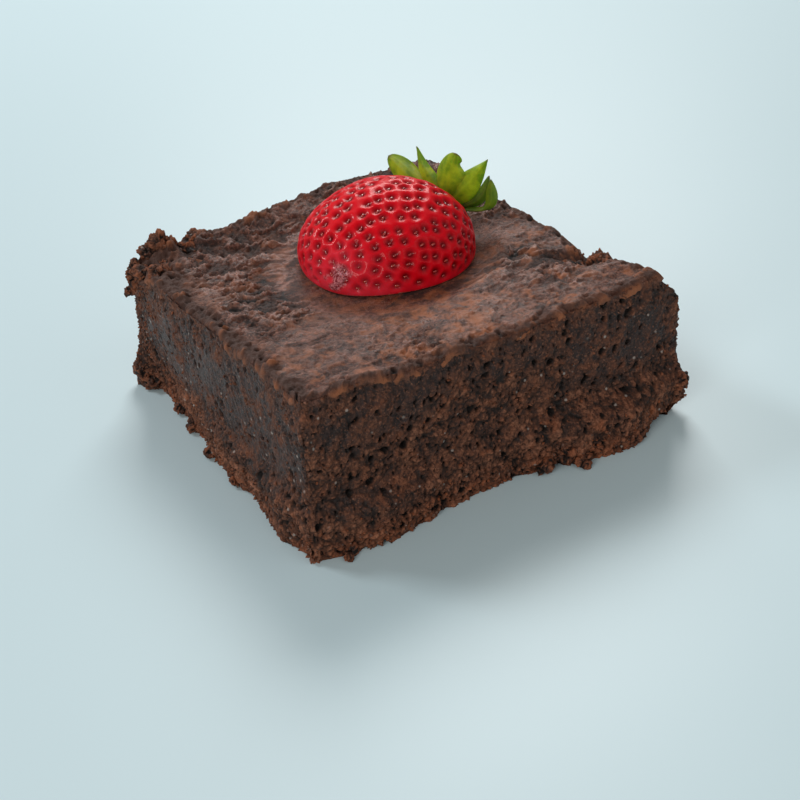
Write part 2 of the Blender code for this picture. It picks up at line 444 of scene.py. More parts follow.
class Wiring:
    """Adds nodes to one node tree and links them."""

    def __init__(self, tree: bpy.types.NodeTree) -> None:
        """Keep the tree that nodes are added to."""
        self.tree = tree

    def node(self, kind: str, values: dict | None = None, **settings: object) -> bpy.types.Node:
        """Add a node.

        Args:
            kind: Blender's name for the node type.
            values: Socket name or number to a value, or to an output socket to link from.
            **settings: Properties of the node itself.

        Returns:
            The new node.
        """
        node = self.tree.nodes.new(kind)
        for name, value in settings.items():
            setattr(node, name, value)
        for socket, value in (values or {}).items():
            self.put(value, node.inputs[socket])
        return node

    def put(self, value: object, socket: bpy.types.NodeSocket) -> None:
        """Link an output to a socket, or set the socket to a plain value."""
        if isinstance(value, bpy.types.NodeSocket):
            self.tree.links.new(value, socket)
        elif isinstance(value, tuple) and len(value) == 3 and socket.type == "RGBA":
            socket.default_value = (*value, 1.0)
        else:
            socket.default_value = value

    def math(self, operation: str, a: object, b: object = 0.0, clamp: bool = False) -> bpy.types.NodeSocket:
        """Result of a Math node on two values."""
        return self.node("ShaderNodeMath", {0: a, 1: b}, operation=operation, use_clamp=clamp).outputs[0]

    def spread(self, value: object, low: object, high: object, out: tuple[float, float] = (0.0, 1.0)
               ) -> bpy.types.NodeSocket:
        """Map a value from low to high onto the range out, clamped."""
        sockets = {"Value": value, "From Min": low, "From Max": high, "To Min": out[0], "To Max": out[1]}
        return self.node("ShaderNodeMapRange", sockets, clamp=True).outputs["Result"]

    def mix(self, share: object, a: object, b: object) -> bpy.types.NodeSocket:
        """Mix two colours.

        Args:
            share: How much of the second.
            a: First colour.
            b: Second colour.

        Returns:
            The mixed colour.
        """
        node = self.tree.nodes.new("ShaderNodeMix")
        node.data_type = "RGBA"
        self.put(share, node.inputs[0])
        self.put(a, node.inputs[6])
        self.put(b, node.inputs[7])
        return node.outputs[2]

    def mark(self, name: str) -> bpy.types.NodeSocket:
        """Value of a mesh mark."""
        return self.node("ShaderNodeAttribute", attribute_name=name).outputs["Fac"]

    def noise(self, vector: object, scale: object, detail: float, roughness: float) -> bpy.types.NodeSocket:
        """Value of a noise texture, about 0.5 in the middle."""
        sockets = {"Vector": vector, "Scale": scale, "Detail": detail, "Roughness": roughness}
        return self.node("ShaderNodeTexNoise", sockets).outputs["Fac"]


def effect_group(name: str, inputs: dict[str, float], outputs: tuple[str, ...]
                 ) -> tuple[bpy.types.NodeTree, Wiring, bpy.types.Node, bpy.types.Node]:
    """Start a shader node group with named number inputs and outputs and a Vector input.

    Args:
        name: Name of the group.
        inputs: Input name to its first value.
        outputs: Output names.

    Returns:
        The group, its wiring, its input node and its output node.
    """
    tree = bpy.data.node_groups.new(name, "ShaderNodeTree")
    tree.interface.new_socket("Vector", in_out="INPUT", socket_type="NodeSocketVector")
    for key, value in inputs.items():
        socket = tree.interface.new_socket(key, in_out="INPUT", socket_type="NodeSocketFloat")
        socket.default_value = value
    for key in outputs:
        tree.interface.new_socket(key, in_out="OUTPUT", socket_type="NodeSocketFloat")
    wiring = Wiring(tree)
    return tree, wiring, tree.nodes.new("NodeGroupInput"), tree.nodes.new("NodeGroupOutput")


def grain_group() -> bpy.types.NodeTree:
    """Fine grain: coarse and fine noise summed, and pin holes taken out of it.

    Returns:
        Group with Height (0 to 1), Speck (high where a grain stands up, used for painted
        highlights) and Spark (rare small dots, used for painted glints).
    """
    outputs = ("Height", "Speck", "Spark")
    tree, w, given, result = effect_group("fine_grain", {"Scale": 1500.0, "Holes": 0.5}, outputs)
    vector, scale = given.outputs["Vector"], given.outputs["Scale"]
    coarse = w.noise(vector, scale, 5.0, 0.62)
    cells = w.node("ShaderNodeTexVoronoi", {"Vector": vector, "Scale": w.math("MULTIPLY", scale, 1.7)})
    hole = w.spread(cells.outputs["Distance"], 0.05, 0.34, (1.0, 0.0))
    hole = w.math("MULTIPLY", hole, given.outputs["Holes"])
    w.put(w.math("SUBTRACT", coarse, w.math("MULTIPLY", hole, 0.35)), result.inputs["Height"])
    w.put(w.spread(coarse, 0.55, 0.75), result.inputs["Speck"])
    dots = w.node("ShaderNodeTexVoronoi", {"Vector": vector, "Scale": w.math("MULTIPLY", scale, 0.42)})
    chosen = w.spread(w.node("ShaderNodeSeparateColor", {0: dots.outputs["Color"]}).outputs[0], 0.70, 0.74)
    dot = w.spread(dots.outputs["Distance"], 0.10, 0.20, (1.0, 0.0))
    w.put(w.math("MULTIPLY", dot, chosen), result.inputs["Spark"])
    return tree


def mottle_group() -> bpy.types.NodeTree:
    """Uneven colour: broad patches and small blotches.

    Returns:
        Group with Patch and Blotch, each from 0 to 1.
    """
    tree, w, given, result = effect_group("mottle", {"Scale": 120.0, "Spread": 0.12}, ("Patch", "Blotch"))
    vector, scale, spread = (given.outputs[k] for k in ("Vector", "Scale", "Spread"))
    low, high = w.math("SUBTRACT", 0.5, spread), w.math("ADD", 0.5, spread)
    for key, factor, detail in (("Patch", 1.0, 3.0), ("Blotch", 5.3, 4.0)):
        noise = w.noise(vector, w.math("MULTIPLY", scale, factor), detail, 0.6)
        w.put(w.spread(noise, low, high), result.inputs[key])
    return tree


@dataclass(frozen=True)
class Effects:
    """The node groups that several finishes share."""

    grain: bpy.types.NodeTree
    mottle: bpy.types.NodeTree

    @staticmethod
    def made() -> "Effects":
        """Build every shared group once."""
        return Effects(grain_group(), mottle_group())


class Recipe(Wiring):
    """A material being wired: its node tree, and its Principled shader."""

    def __init__(self, name: str) -> None:
        """Start a material of that name."""
        self.material = bpy.data.materials.new(name)
        self.material.use_nodes = True
        super().__init__(self.material.node_tree)
        self.shader = self.tree.nodes["Principled BSDF"]

    def effect(self, group: bpy.types.NodeTree, scale: float) -> bpy.types.Node:
        """A shared group's node, reading Object coordinates at a scale."""
        place = self.node("ShaderNodeTexCoord").outputs["Object"]
        return self.node("ShaderNodeGroup", {"Vector": place, "Scale": scale}, node_tree=group)

    def feed(self, **values: object) -> None:
        """Link or set the shader's sockets, named with _ for each space."""
        for name, value in values.items():
            self.put(value, self.shader.inputs[name.replace("_", " ")])

    def bump(self, height: object, strength: float, depth: float) -> None:
        """Bend the shader's normal by a height, where 1 stands for the depth in metres."""
        sockets = {"Height": height, "Strength": strength, "Distance": depth}
        self.feed(Normal=self.node("ShaderNodeBump", sockets).outputs["Normal"])


@dataclass(frozen=True)
class CrumbFinish:
    """Baked crumb: dark where it is dense, painted shade in pores and low grain, painted highlights
    on raised grain and pale dots painted as glints.

    Reads the marks pit (hollow, 0 to 1, drawn as painted shade), tone (light base 1, plain 0.5,
    dense fudge 0) and rust (share of orange-brown).
    """

    name: str = "chocolate_crumb_baked"
    dark: Colour = (0.026, 0.013, 0.011)
    plain: Colour = (0.140, 0.051, 0.026)
    light: Colour = (0.340, 0.145, 0.082)
    rust: Colour = (0.300, 0.080, 0.024)
    # Near black, used only as painted shade in hollows and low grain.
    pore: Colour = (0.006, 0.003, 0.002)
    # Pale colour of the dots painted as glints.
    painted_glint: Colour = (0.420, 0.370, 0.330)
    shine: float = 0.32
    mottle_scale: float = 170.0
    grain_scale: float = 1450.0
    fine_factor: float = 1.8
    bump: float = 0.9
    bump_depth: float = 0.00030

    def material(self, effects: Effects) -> bpy.types.Material:
        """Build the material.

        Args:
            effects: Shared groups.

        Returns:
            The material.
        """
        w = Recipe(self.name)
        tone, pit, rust = (w.mark(k) for k in ("tone", "pit", "rust"))
        mottle = w.effect(effects.mottle, self.mottle_scale)
        grain = w.effect(effects.grain, self.grain_scale)
        fine = w.effect(effects.grain, self.fine_factor * self.grain_scale).outputs["Height"]
        patch = w.math("MULTIPLY", w.math("SUBTRACT", mottle.outputs["Blotch"], 0.5), 0.30)
        level = w.math("ADD", tone, patch, clamp=True)
        colour = w.mix(w.spread(level, 0.0, 0.5), self.dark, self.plain)
        colour = w.mix(w.spread(level, 0.5, 1.0), colour, self.light)
        # Painted shade in low grain and low fine noise, painted highlights on high fine noise.
        colour = w.mix(w.spread(grain.outputs["Height"], 0.28, 0.50, (0.80, 0.0)), colour, self.pore)
        colour = w.mix(w.spread(fine, 0.28, 0.50, (0.85, 0.0)), colour, self.dark)
        colour = w.mix(w.spread(fine, 0.55, 0.70, (0.0, 0.80)), colour, self.light)
        colour = w.mix(w.math("MULTIPLY", rust, w.spread(mottle.outputs["Patch"], 0.0, 1.0, (0.45, 1.0))),
                       colour, self.rust)
        # Painted shade in the hollows of the pit mark, and pale dots painted as glints.
        colour = w.mix(w.spread(pit, 0.05, 0.75), colour, self.pore)
        colour = w.mix(w.math("MULTIPLY", grain.outputs["Spark"], 0.7), colour, self.painted_glint)
        w.feed(Base_Color=colour)
        w.feed(Roughness=w.spread(level, 0.0, 0.6, (0.40, 0.80)), Specular_IOR_Level=self.shine)
        height = w.math("ADD", grain.outputs["Height"], w.math("MULTIPLY", fine, 0.5))
        w.bump(height, self.bump, self.bump_depth)
        return w.material


@dataclass(frozen=True)
class CrustFinish:
    """Thin baked crust: brown, with painted highlights on raised grains and painted shade in low
    grain and hollows, with satin films carrying painted sheen, and rusty patches.

    Reads the marks pit (drawn as painted shade), rust, broken (share where the crumb under it
    shows) and the smooth film's share (glossier there, and pale with painted sheen).
    """

    name: str = "brownie_crust_baked"
    deep: Colour = (0.030, 0.009, 0.005)
    plain: Colour = (0.130, 0.037, 0.015)
    # Pale colour used only for painted highlights and painted sheen.
    pale: Colour = (0.330, 0.140, 0.092)
    rust: Colour = (0.360, 0.118, 0.042)
    crumb: Colour = (0.062, 0.024, 0.014)
    # Near black, used only as painted shade.
    pore: Colour = (0.005, 0.0025, 0.002)
    shine: float = 0.55
    mottle_scale: float = 95.0
    grain_scale: float = 1350.0
    fine_factor: float = 2.1
    bump: float = 1.0
    bump_depth: float = 0.00034

    def material(self, effects: Effects) -> bpy.types.Material:
        """Build the material.

        Args:
            effects: Shared groups.

        Returns:
            The material.
        """
        w = Recipe(self.name)
        pit, rust, broken, film = (w.mark(k) for k in ("pit", "rust", "broken", "film"))
        mottle = w.effect(effects.mottle, self.mottle_scale)
        grain = w.effect(effects.grain, self.grain_scale)
        fine = w.effect(effects.grain, self.fine_factor * self.grain_scale).outputs["Height"]
        share = w.math("ADD", w.math("MULTIPLY", mottle.outputs["Patch"], 0.6),
                       w.math("MULTIPLY", mottle.outputs["Blotch"], 0.4))
        colour = w.mix(share, self.deep, self.plain)
        # Painted shade in low fine grain, painted highlights on high fine grain.
        colour = w.mix(w.spread(fine, 0.28, 0.52, (0.90, 0.0)), colour, self.deep)
        colour = w.mix(w.spread(fine, 0.54, 0.70, (0.0, 0.80)), colour, self.pale)
        # Painted sheen: pale colour where the smooth film is.
        colour = w.mix(w.math("MULTIPLY", film, w.spread(mottle.outputs["Blotch"], 0.1, 0.9, (0.10, 0.68))),
                       colour, self.pale)
        # Painted shade in low grain, painted highlights on raised grains.
        colour = w.mix(w.spread(grain.outputs["Height"], 0.28, 0.52, (0.85, 0.0)), colour, self.pore)
        colour = w.mix(w.math("MULTIPLY", grain.outputs["Speck"], 0.45), colour, self.pale)
        colour = w.mix(broken, colour, self.crumb)
        colour = w.mix(rust, colour, self.rust)
        # Painted shade in the hollows of the pit mark.
        colour = w.mix(w.spread(pit, 0.15, 0.9), colour, self.pore)
        w.feed(Base_Color=colour)
        gloss = w.math("MULTIPLY", film, w.math("SUBTRACT", 1.0, broken))
        w.feed(Roughness=w.spread(gloss, 0.0, 1.0, (0.78, 0.30)), Specular_IOR_Level=self.shine)
        height = w.math("ADD", grain.outputs["Height"], w.math("MULTIPLY", fine, 0.55))
        w.bump(height, self.bump, self.bump_depth)
        return w.material


@dataclass(frozen=True)
class BerryFinish:
    """Moist strawberry skin: red, darkened with painted shade in the seed hollows, pinkish
    towards the tip, with painted sheen on the ridges and the left flank.

    Reads the marks pit (seed hollow, drawn as painted shade), a paleness share (0 to 1: pinker
    tip, painted sheen on the left flank and ridges), flesh (1 on the cut face) and nose (1 on the
    spot at the tip: a dark bruise speckled with painted sheen).
    """

    name: str = "ripe_strawberry_skin"
    # Dark red used as painted shade in the seed pits.
    deep: Colour = (0.210, 0.0004, 0.004)
    red: Colour = (0.700, 0.0002, 0.009)
    pale: Colour = (0.780, 0.040, 0.070)
    flesh: Colour = (0.780, 0.230, 0.160)
    bruise: Colour = (0.090, 0.012, 0.014)
    # Pale pink used as painted sheen on the tip.
    tip_sheen: Colour = (0.700, 0.300, 0.330)
    roughness: tuple[float, float] = (0.34, 0.48)
    coat: float = 0.16
    shine: float = 0.08
    mottle_scale: float = 260.0
    grain_scale: float = 2600.0
    bump: float = 0.25
    bump_depth: float = 0.00005

    def material(self, effects: Effects) -> bpy.types.Material:
        """Build the material.

        Args:
            effects: Shared groups.

        Returns:
            The material.
        """
        w = Recipe(self.name)
        pit, paleness, flesh, nose = (w.mark(k) for k in ("pit", "paleness", "flesh", "nose"))
        mottle = w.effect(effects.mottle, self.mottle_scale)
        grain = w.effect(effects.grain, self.grain_scale)
        # Painted shade: deep red in the seed pits.
        colour = w.mix(w.spread(pit, 0.05, 0.80), self.red, self.deep)
        # Pale: real pink towards the tip, painted sheen on the left flank and the ridges.
        share = w.math("MULTIPLY", paleness, w.spread(mottle.outputs["Patch"], 0.0, 1.0, (0.55, 1.0)))
        colour = w.mix(share, colour, self.pale)
        colour = w.mix(flesh, colour, self.flesh)
        speckle = w.spread(grain.outputs["Height"], 0.40, 0.62, (0.0, 1.0))
        # The tip spot: dark bruise speckled with painted sheen.
        colour = w.mix(w.math("MULTIPLY", nose, 0.85), colour, w.mix(speckle, self.bruise, self.tip_sheen))
        w.feed(Base_Color=colour)
        w.feed(Roughness=w.spread(mottle.outputs["Blotch"], 0.0, 1.0, self.roughness),
               Subsurface_Weight=0.25, Subsurface_Radius=(1.0, 0.12, 0.08), Subsurface_Scale=0.0025,
               Coat_Weight=self.coat, Coat_Roughness=0.09, Specular_IOR_Level=self.shine)
        w.bump(grain.outputs["Height"], self.bump, self.bump_depth)
        return w.material


@dataclass(frozen=True)
class SeedFinish:
    """Strawberry seeds: glossy, brick red to deep red, each its own shade (mark shade)."""

    name: str = "strawberry_seed"
    light: Colour = (0.440, 0.030, 0.016)
    red: Colour = (0.280, 0.002, 0.004)
    grain_scale: float = 4000.0

    def material(self, effects: Effects) -> bpy.types.Material:
        """Build the material.

        Args:
            effects: Shared groups.

        Returns:
            The material.
        """
        w = Recipe(self.name)
        grain = w.effect(effects.grain, self.grain_scale)
        w.feed(Base_Color=w.mix(w.mark("shade"), self.red, self.light), Coat_Weight=1.0,
               Roughness=w.spread(grain.outputs["Height"], 0.3, 0.7, (0.12, 0.24)))
        return w.material


@dataclass(frozen=True)
class LeafFinish:
    """Fresh sepal: bright green, paler along the veins, browned at worn tips, with painted shade.

    Reads the marks vein, age (brown share) and a painted shade share (darker near the root
    and over some whole leaves).
    """

    name: str = "strawberry_leaf_fresh"
    green: Colour = (0.150, 0.320, 0.006)
    lime: Colour = (0.400, 0.560, 0.014)
    # Dark green used as painted shade.
    deep: Colour = (0.035, 0.070, 0.008)
    brown: Colour = (0.120, 0.045, 0.018)
    vein_share: float = 0.6
    mottle_scale: float = 420.0
    grain_scale: float = 3200.0
    bump: float = 0.35
    bump_depth: float = 0.00008

    def material(self, effects: Effects) -> bpy.types.Material:
        """Build the material.

        Args:
            effects: Shared groups.

        Returns:
            The material.
        """
        w = Recipe(self.name)
        vein, age, dusk = (w.mark(k) for k in ("vein", "age", "dusk"))
        mottle = w.effect(effects.mottle, self.mottle_scale)
        grain = w.effect(effects.grain, self.grain_scale)
        colour = w.mix(mottle.outputs["Patch"], self.green, self.lime)
        raised = w.math("MULTIPLY", vein, self.vein_share)
        colour = w.mix(raised, colour, self.lime)
        # Painted shade: towards dark green where the shade share is high.
        colour = w.mix(dusk, colour, self.deep)
        colour = w.mix(age, colour, self.brown)
        w.feed(Base_Color=colour)
        w.feed(Roughness=w.spread(mottle.outputs["Blotch"], 0.0, 1.0, (0.38, 0.55)),
               Subsurface_Weight=0.15, Subsurface_Radius=(0.5, 1.0, 0.15), Subsurface_Scale=0.0008)
        height = w.math("SUBTRACT", grain.outputs["Height"], raised)
        w.bump(height, self.bump, self.bump_depth)
        return w.material


@dataclass(frozen=True)
class FloorFinish:
    """Plain pale floor."""

    name: str = "pale_floor"
    colour: Colour = (0.575, 0.735, 0.785)
    roughness: float = 0.42

    def material(self) -> bpy.types.Material:
        """Build the material."""
        w = Recipe(self.name)
        w.feed(Base_Color=self.colour, Roughness=self.roughness)
        return w.material


# ---------------------------------------------------------------- the block of cake

Place = tuple[float, float]
Profile = tuple[tuple[float, float], ...]


@dataclass(frozen=True)
class Seat:
    """The flat patch of crust under the strawberry, with the berry's length, width and axes."""

    centre: Place = (2.27, 6.2)
    heading: float = math.radians(30.0)
    length: float = 32.0
    width: float = 34.0
    height: float = 25.6
    blend_width: float = 0.30

    def axes(self) -> tuple[np.ndarray, np.ndarray]:
        """Unit vectors along the berry, tip to leaves, and to its left."""
        along = np.array([math.cos(self.heading), math.sin(self.heading), 0.0])
        return along, np.array([-along[1], along[0], 0.0])

    def share(self, x: Values, y: Values) -> Values:
        """1 under the berry and its cap, easing to 0 round them.

        Args:
            x: Places along X.
            y: Places along Y.

        Returns:
            Share of the seat at each place.
        """
        along, across = self.axes()
        dx, dy = x - self.centre[0], y - self.centre[1]
        length = (dx * along[0] + dy * along[1]) / (self.length / 2 + 2.5)
        width = (dx * across[0] + dy * across[1]) / (self.width / 2 + 0.5)
        return fade(1.05, 1.05 + self.blend_width, np.hypot(length, width))


@dataclass(frozen=True)
class Crack:
    """A split in the crust from one place to another."""

    start: Place
    end: Place
    depth: float
    width: float

    def share(self, x: Values, y: Values) -> Values:
        """How deep in the split each place is, from 0 to 1.

        Args:
            x: Places along X.
            y: Places along Y.

        Returns:
            Share, by distance from the split's wandering line.
        """
        ax, ay = self.start
        bx, by = self.end
        span = math.hypot(bx - ax, by - ay)
        t = np.clip(((x - ax) * (bx - ax) + (y - ay) * (by - ay)) / span ** 2, 0.0, 1.0)
        flat = on_floor(x, y)
        sway = 0.8 * soft_noise(flat, 3.1, 61) + 0.3 * soft_noise(flat, 1.1, 62)
        off = np.hypot(x - blend(ax, bx, t), y - blend(ay, by, t)) + sway * 0.6
        taper = np.sin(np.pi * np.clip(t, 0.04, 0.96)) ** 0.5
        return taper * np.exp(-(off / self.width) ** 2)


@dataclass(frozen=True)
class Block:
    """Plan, heights and faults of the cut square of cake, shared by crust and cut sides."""

    base: tuple[Place, ...] = ((-38.3, -34.6), (39.6, -37.6), (36.5, 37.0), (-38.2, 36.2))
    waist: tuple[Place, ...] = ((-36.6, -33.0), (39.0, -34.8), (35.2, 37.2), (-37.0, 35.6))
    top: tuple[Place, ...] = ((-35.75, -31.8), (34.9, -33.9), (33.65, 37.5), (-36.3, 34.3))
    front_reach: Profile = ((-38.0, 0.2), (-31.0, 1.5), (-24.5, 2.4), (-18.0, 1.6), (-11.0, 0.2),
                            (1.0, -0.3), (8.0, 0.9), (13.0, 2.4), (22.5, 4.0), (31.0, 1.3), (36.0, 0.0))
    left_reach: Profile = ((-35.0, 0.3), (-30.0, -0.2), (-25.5, 1.1), (-19.0, 0.6), (-13.0, 0.0),
                           (-6.0, 0.8), (1.0, 0.5), (10.0, -1.2), (21.0, -2.1), (31.5, -2.2), (36.0, 0.5))
    reach_inwards: float = 0.25
    front_edge: Profile = ((-36.0, 28.8), (-10.0, 27.7), (12.0, 27.4), (34.5, 28.2))
    back_edge: Profile = ((-36.0, 25.8), (-31.5, 28.4), (-28.4, 29.4), (-25.6, 26.7), (-22.5, 28.6),
                          (-16.0, 28.0), (-5.0, 29.1), (11.0, 29.8), (33.0, 28.2))
    left_edge: Profile = ((-32.0, 28.8), (0.0, 27.8), (22.0, 27.2), (34.0, 25.8))
    right_edge: Profile = ((-34.0, 28.2), (-27.0, 27.6), (-22.5, 26.4), (-20.0, 23.6), (-14.5, 22.6),
                           (-12.0, 25.0), (-4.0, 26.8), (20.0, 27.4), (37.0, 28.4))
    edge_reach: float = 10.0
    span: float = 70.0
    sag: float = 1.3
    corner_radius: float = 1.6
    lip_heights: tuple[float, float] = (0.25, 0.37)
    lip_share: float = 0.75
    waist_height: float = 0.80
    inset: float = 0.40
    torn_corner: Place = (-35.5, 34.5)
    torn_reach: float = 9.5
    notch: Place = (34.0, -16.0)
    notch_reach: float = 7.0
    seat: Seat = Seat()
    cracks: tuple[Crack, ...] = (
        Crack((33.5, -17.5), (25.0, -13.5), 1.0, 0.50),
        Crack((24.0, -8.0), (18.5, -11.0), 0.35, 0.35),
        Crack((-25.5, -15.5), (-20.0, -14.0), 0.35, 0.30),
        Crack((-20.0, -20.5), (-15.0, -19.5), 0.30, 0.30),
        Crack((-29.0, 7.0), (-24.0, 4.5), 0.35, 0.35),
    )

    def mixed(self, corners: tuple[Place, ...], square: Points) -> Points:
        """Plan of points on the square from -1 to 1: four corners mixed by their shares.

        Args:
            corners: Front left, front right, back right and back left corner.
            square: Points on the square, last axis of length 2.

        Returns:
            Places, last axis of length 2.
        """
        u, v = 0.5 + 0.5 * square[..., :1], 0.5 + 0.5 * square[..., 1:]
        shares = ((1 - u) * (1 - v), u * (1 - v), u * v, (1 - u) * v)
        return sum(share * np.array(corner) for share, corner in zip(shares, corners))

    def plan(self, square: Points, t: Values) -> Points:
        """Plan of points on the square from -1 to 1, at a share of the block's height.

        The base stands out by its own reach along the front and the left. Above the lip
        the sides draw in to the waist, and over the last fifth they ease in to the crust.

        Args:
            square: Points on the square, last axis of length 2.
            t: Share of the height, 0 at the base and 1 at the crust.

        Returns:
            Places, last axis of length 2.
        """
        base = self.mixed(self.base, square)
        u, v = 0.5 + 0.5 * square[..., 0], 0.5 + 0.5 * square[..., 1]
        forward = along_profile(self.front_reach, base[..., 0]) * fade(0.0, self.reach_inwards, v)
        leftward = along_profile(self.left_reach, base[..., 1]) * fade(0.0, self.reach_inwards, u)
        base = base - np.stack([leftward, forward], axis=-1)
        drawn = self.lip_share * ease(*self.lip_heights, t)
        drawn = drawn + (1.0 - self.lip_share) * np.clip(t / self.waist_height, 0.0, 1.0)
        place = blend(base, self.mixed(self.waist, square), drawn[..., None])
        return blend(place, self.mixed(self.top, square), ease(self.waist_height, 1.0, t)[..., None])

    def rounded(self, square: Points, radius: float) -> Points:
        """Pull points of the square from -1 to 1 onto its rounded corners.

        Args:
            square: Points, last axis of length 2.
            radius: Corner radius in millimetres.

        Returns:
            The points, moved.
        """
        r = 2.0 * radius / self.span
        over = np.maximum(np.abs(square) - (1.0 - r), 0.0)
        length = np.maximum(np.linalg.norm(over, axis=-1, keepdims=True), 1e-9)
        pull = over * (1.0 - np.max(over, axis=-1, keepdims=True) / length)
        return square - np.sign(square) * pull

    def height(self, square: Points, place: Points) -> Values:
        """Height of the crust before its fine relief.

        A patch through the corners' heights sinks towards its middle. Each edge adds its
        own unevenness, which dies away inwards, and the seat is pressed flat.

        Args:
            square: Points on the square from -1 to 1.
            place: The same points on the plan.

        Returns:
            Heights.
        """
        u, v = 0.5 + 0.5 * square[..., 0], 0.5 + 0.5 * square[..., 1]
        x, y = place[..., 0], place[..., 1]
        fl, fr = self.front_edge[0][1], self.front_edge[-1][1]
        bl, br = self.back_edge[0][1], self.back_edge[-1][1]
        height = blend(blend(fl, fr, u), blend(bl, br, u), v)
        edges = (
            (along_profile(self.front_edge, x) - blend(fl, fr, u), v),
            (along_profile(self.back_edge, x) - blend(bl, br, u), 1.0 - v),
            (along_profile(self.left_edge, y) - blend(fl, bl, v), u),
            (along_profile(self.right_edge, y) - blend(fr, br, v), 1.0 - u),
        )
        for rise, inwards in edges:
            height = height + rise * fade(0.0, self.edge_reach, inwards * self.span)
        bulge = (1.0 - (2.0 * u - 1.0) ** 4) * (1.0 - (2.0 * v - 1.0) ** 4)
        height = height + 0.35 * soft_noise(on_floor(x, y), 8.0, 5) - self.sag * bulge
        return blend(height, self.seat.height, self.seat.share(x, y))

    def broken(self, place: Points) -> Values:
        """Share of each place where the crust is broken away: torn corner and notch.

        Args:
            place: Places on the plan.

        Returns:
            Share from 0 to 1.
        """
        x, y = place[..., 0], place[..., 1]
        fray = 2.4 * layered_noise(on_floor(x, y), 4.0, 3, 0.6, 71)
        to_corner = np.hypot((x - self.torn_corner[0]) * 0.8, y - self.torn_corner[1])
        to_notch = np.hypot(x - self.notch[0], (y - self.notch[1]) * 0.9)
        corner = fade(self.torn_reach - 2.5, self.torn_reach, to_corner + fray)
        return np.maximum(corner, fade(self.notch_reach - 1.5, self.notch_reach, to_notch + 0.7 * fray))


@dataclass(frozen=True)
class Patch:
    """A soft-edged oval on one cut side, in place along the side and height."""

    side: CutSide
    centre: Place
    radii: Place
    amount: float

    def share(self, side_of: Values, along: Values, height: Values) -> Values:
        """The patch's amount at each place along its side, easing to 0 at its radii."""
        reach = np.hypot((along - self.centre[0]) / self.radii[0], (height - self.centre[1]) / self.radii[1])
        return self.amount * (side_of == self.side.value) * fade(0.45, 1.0, reach)


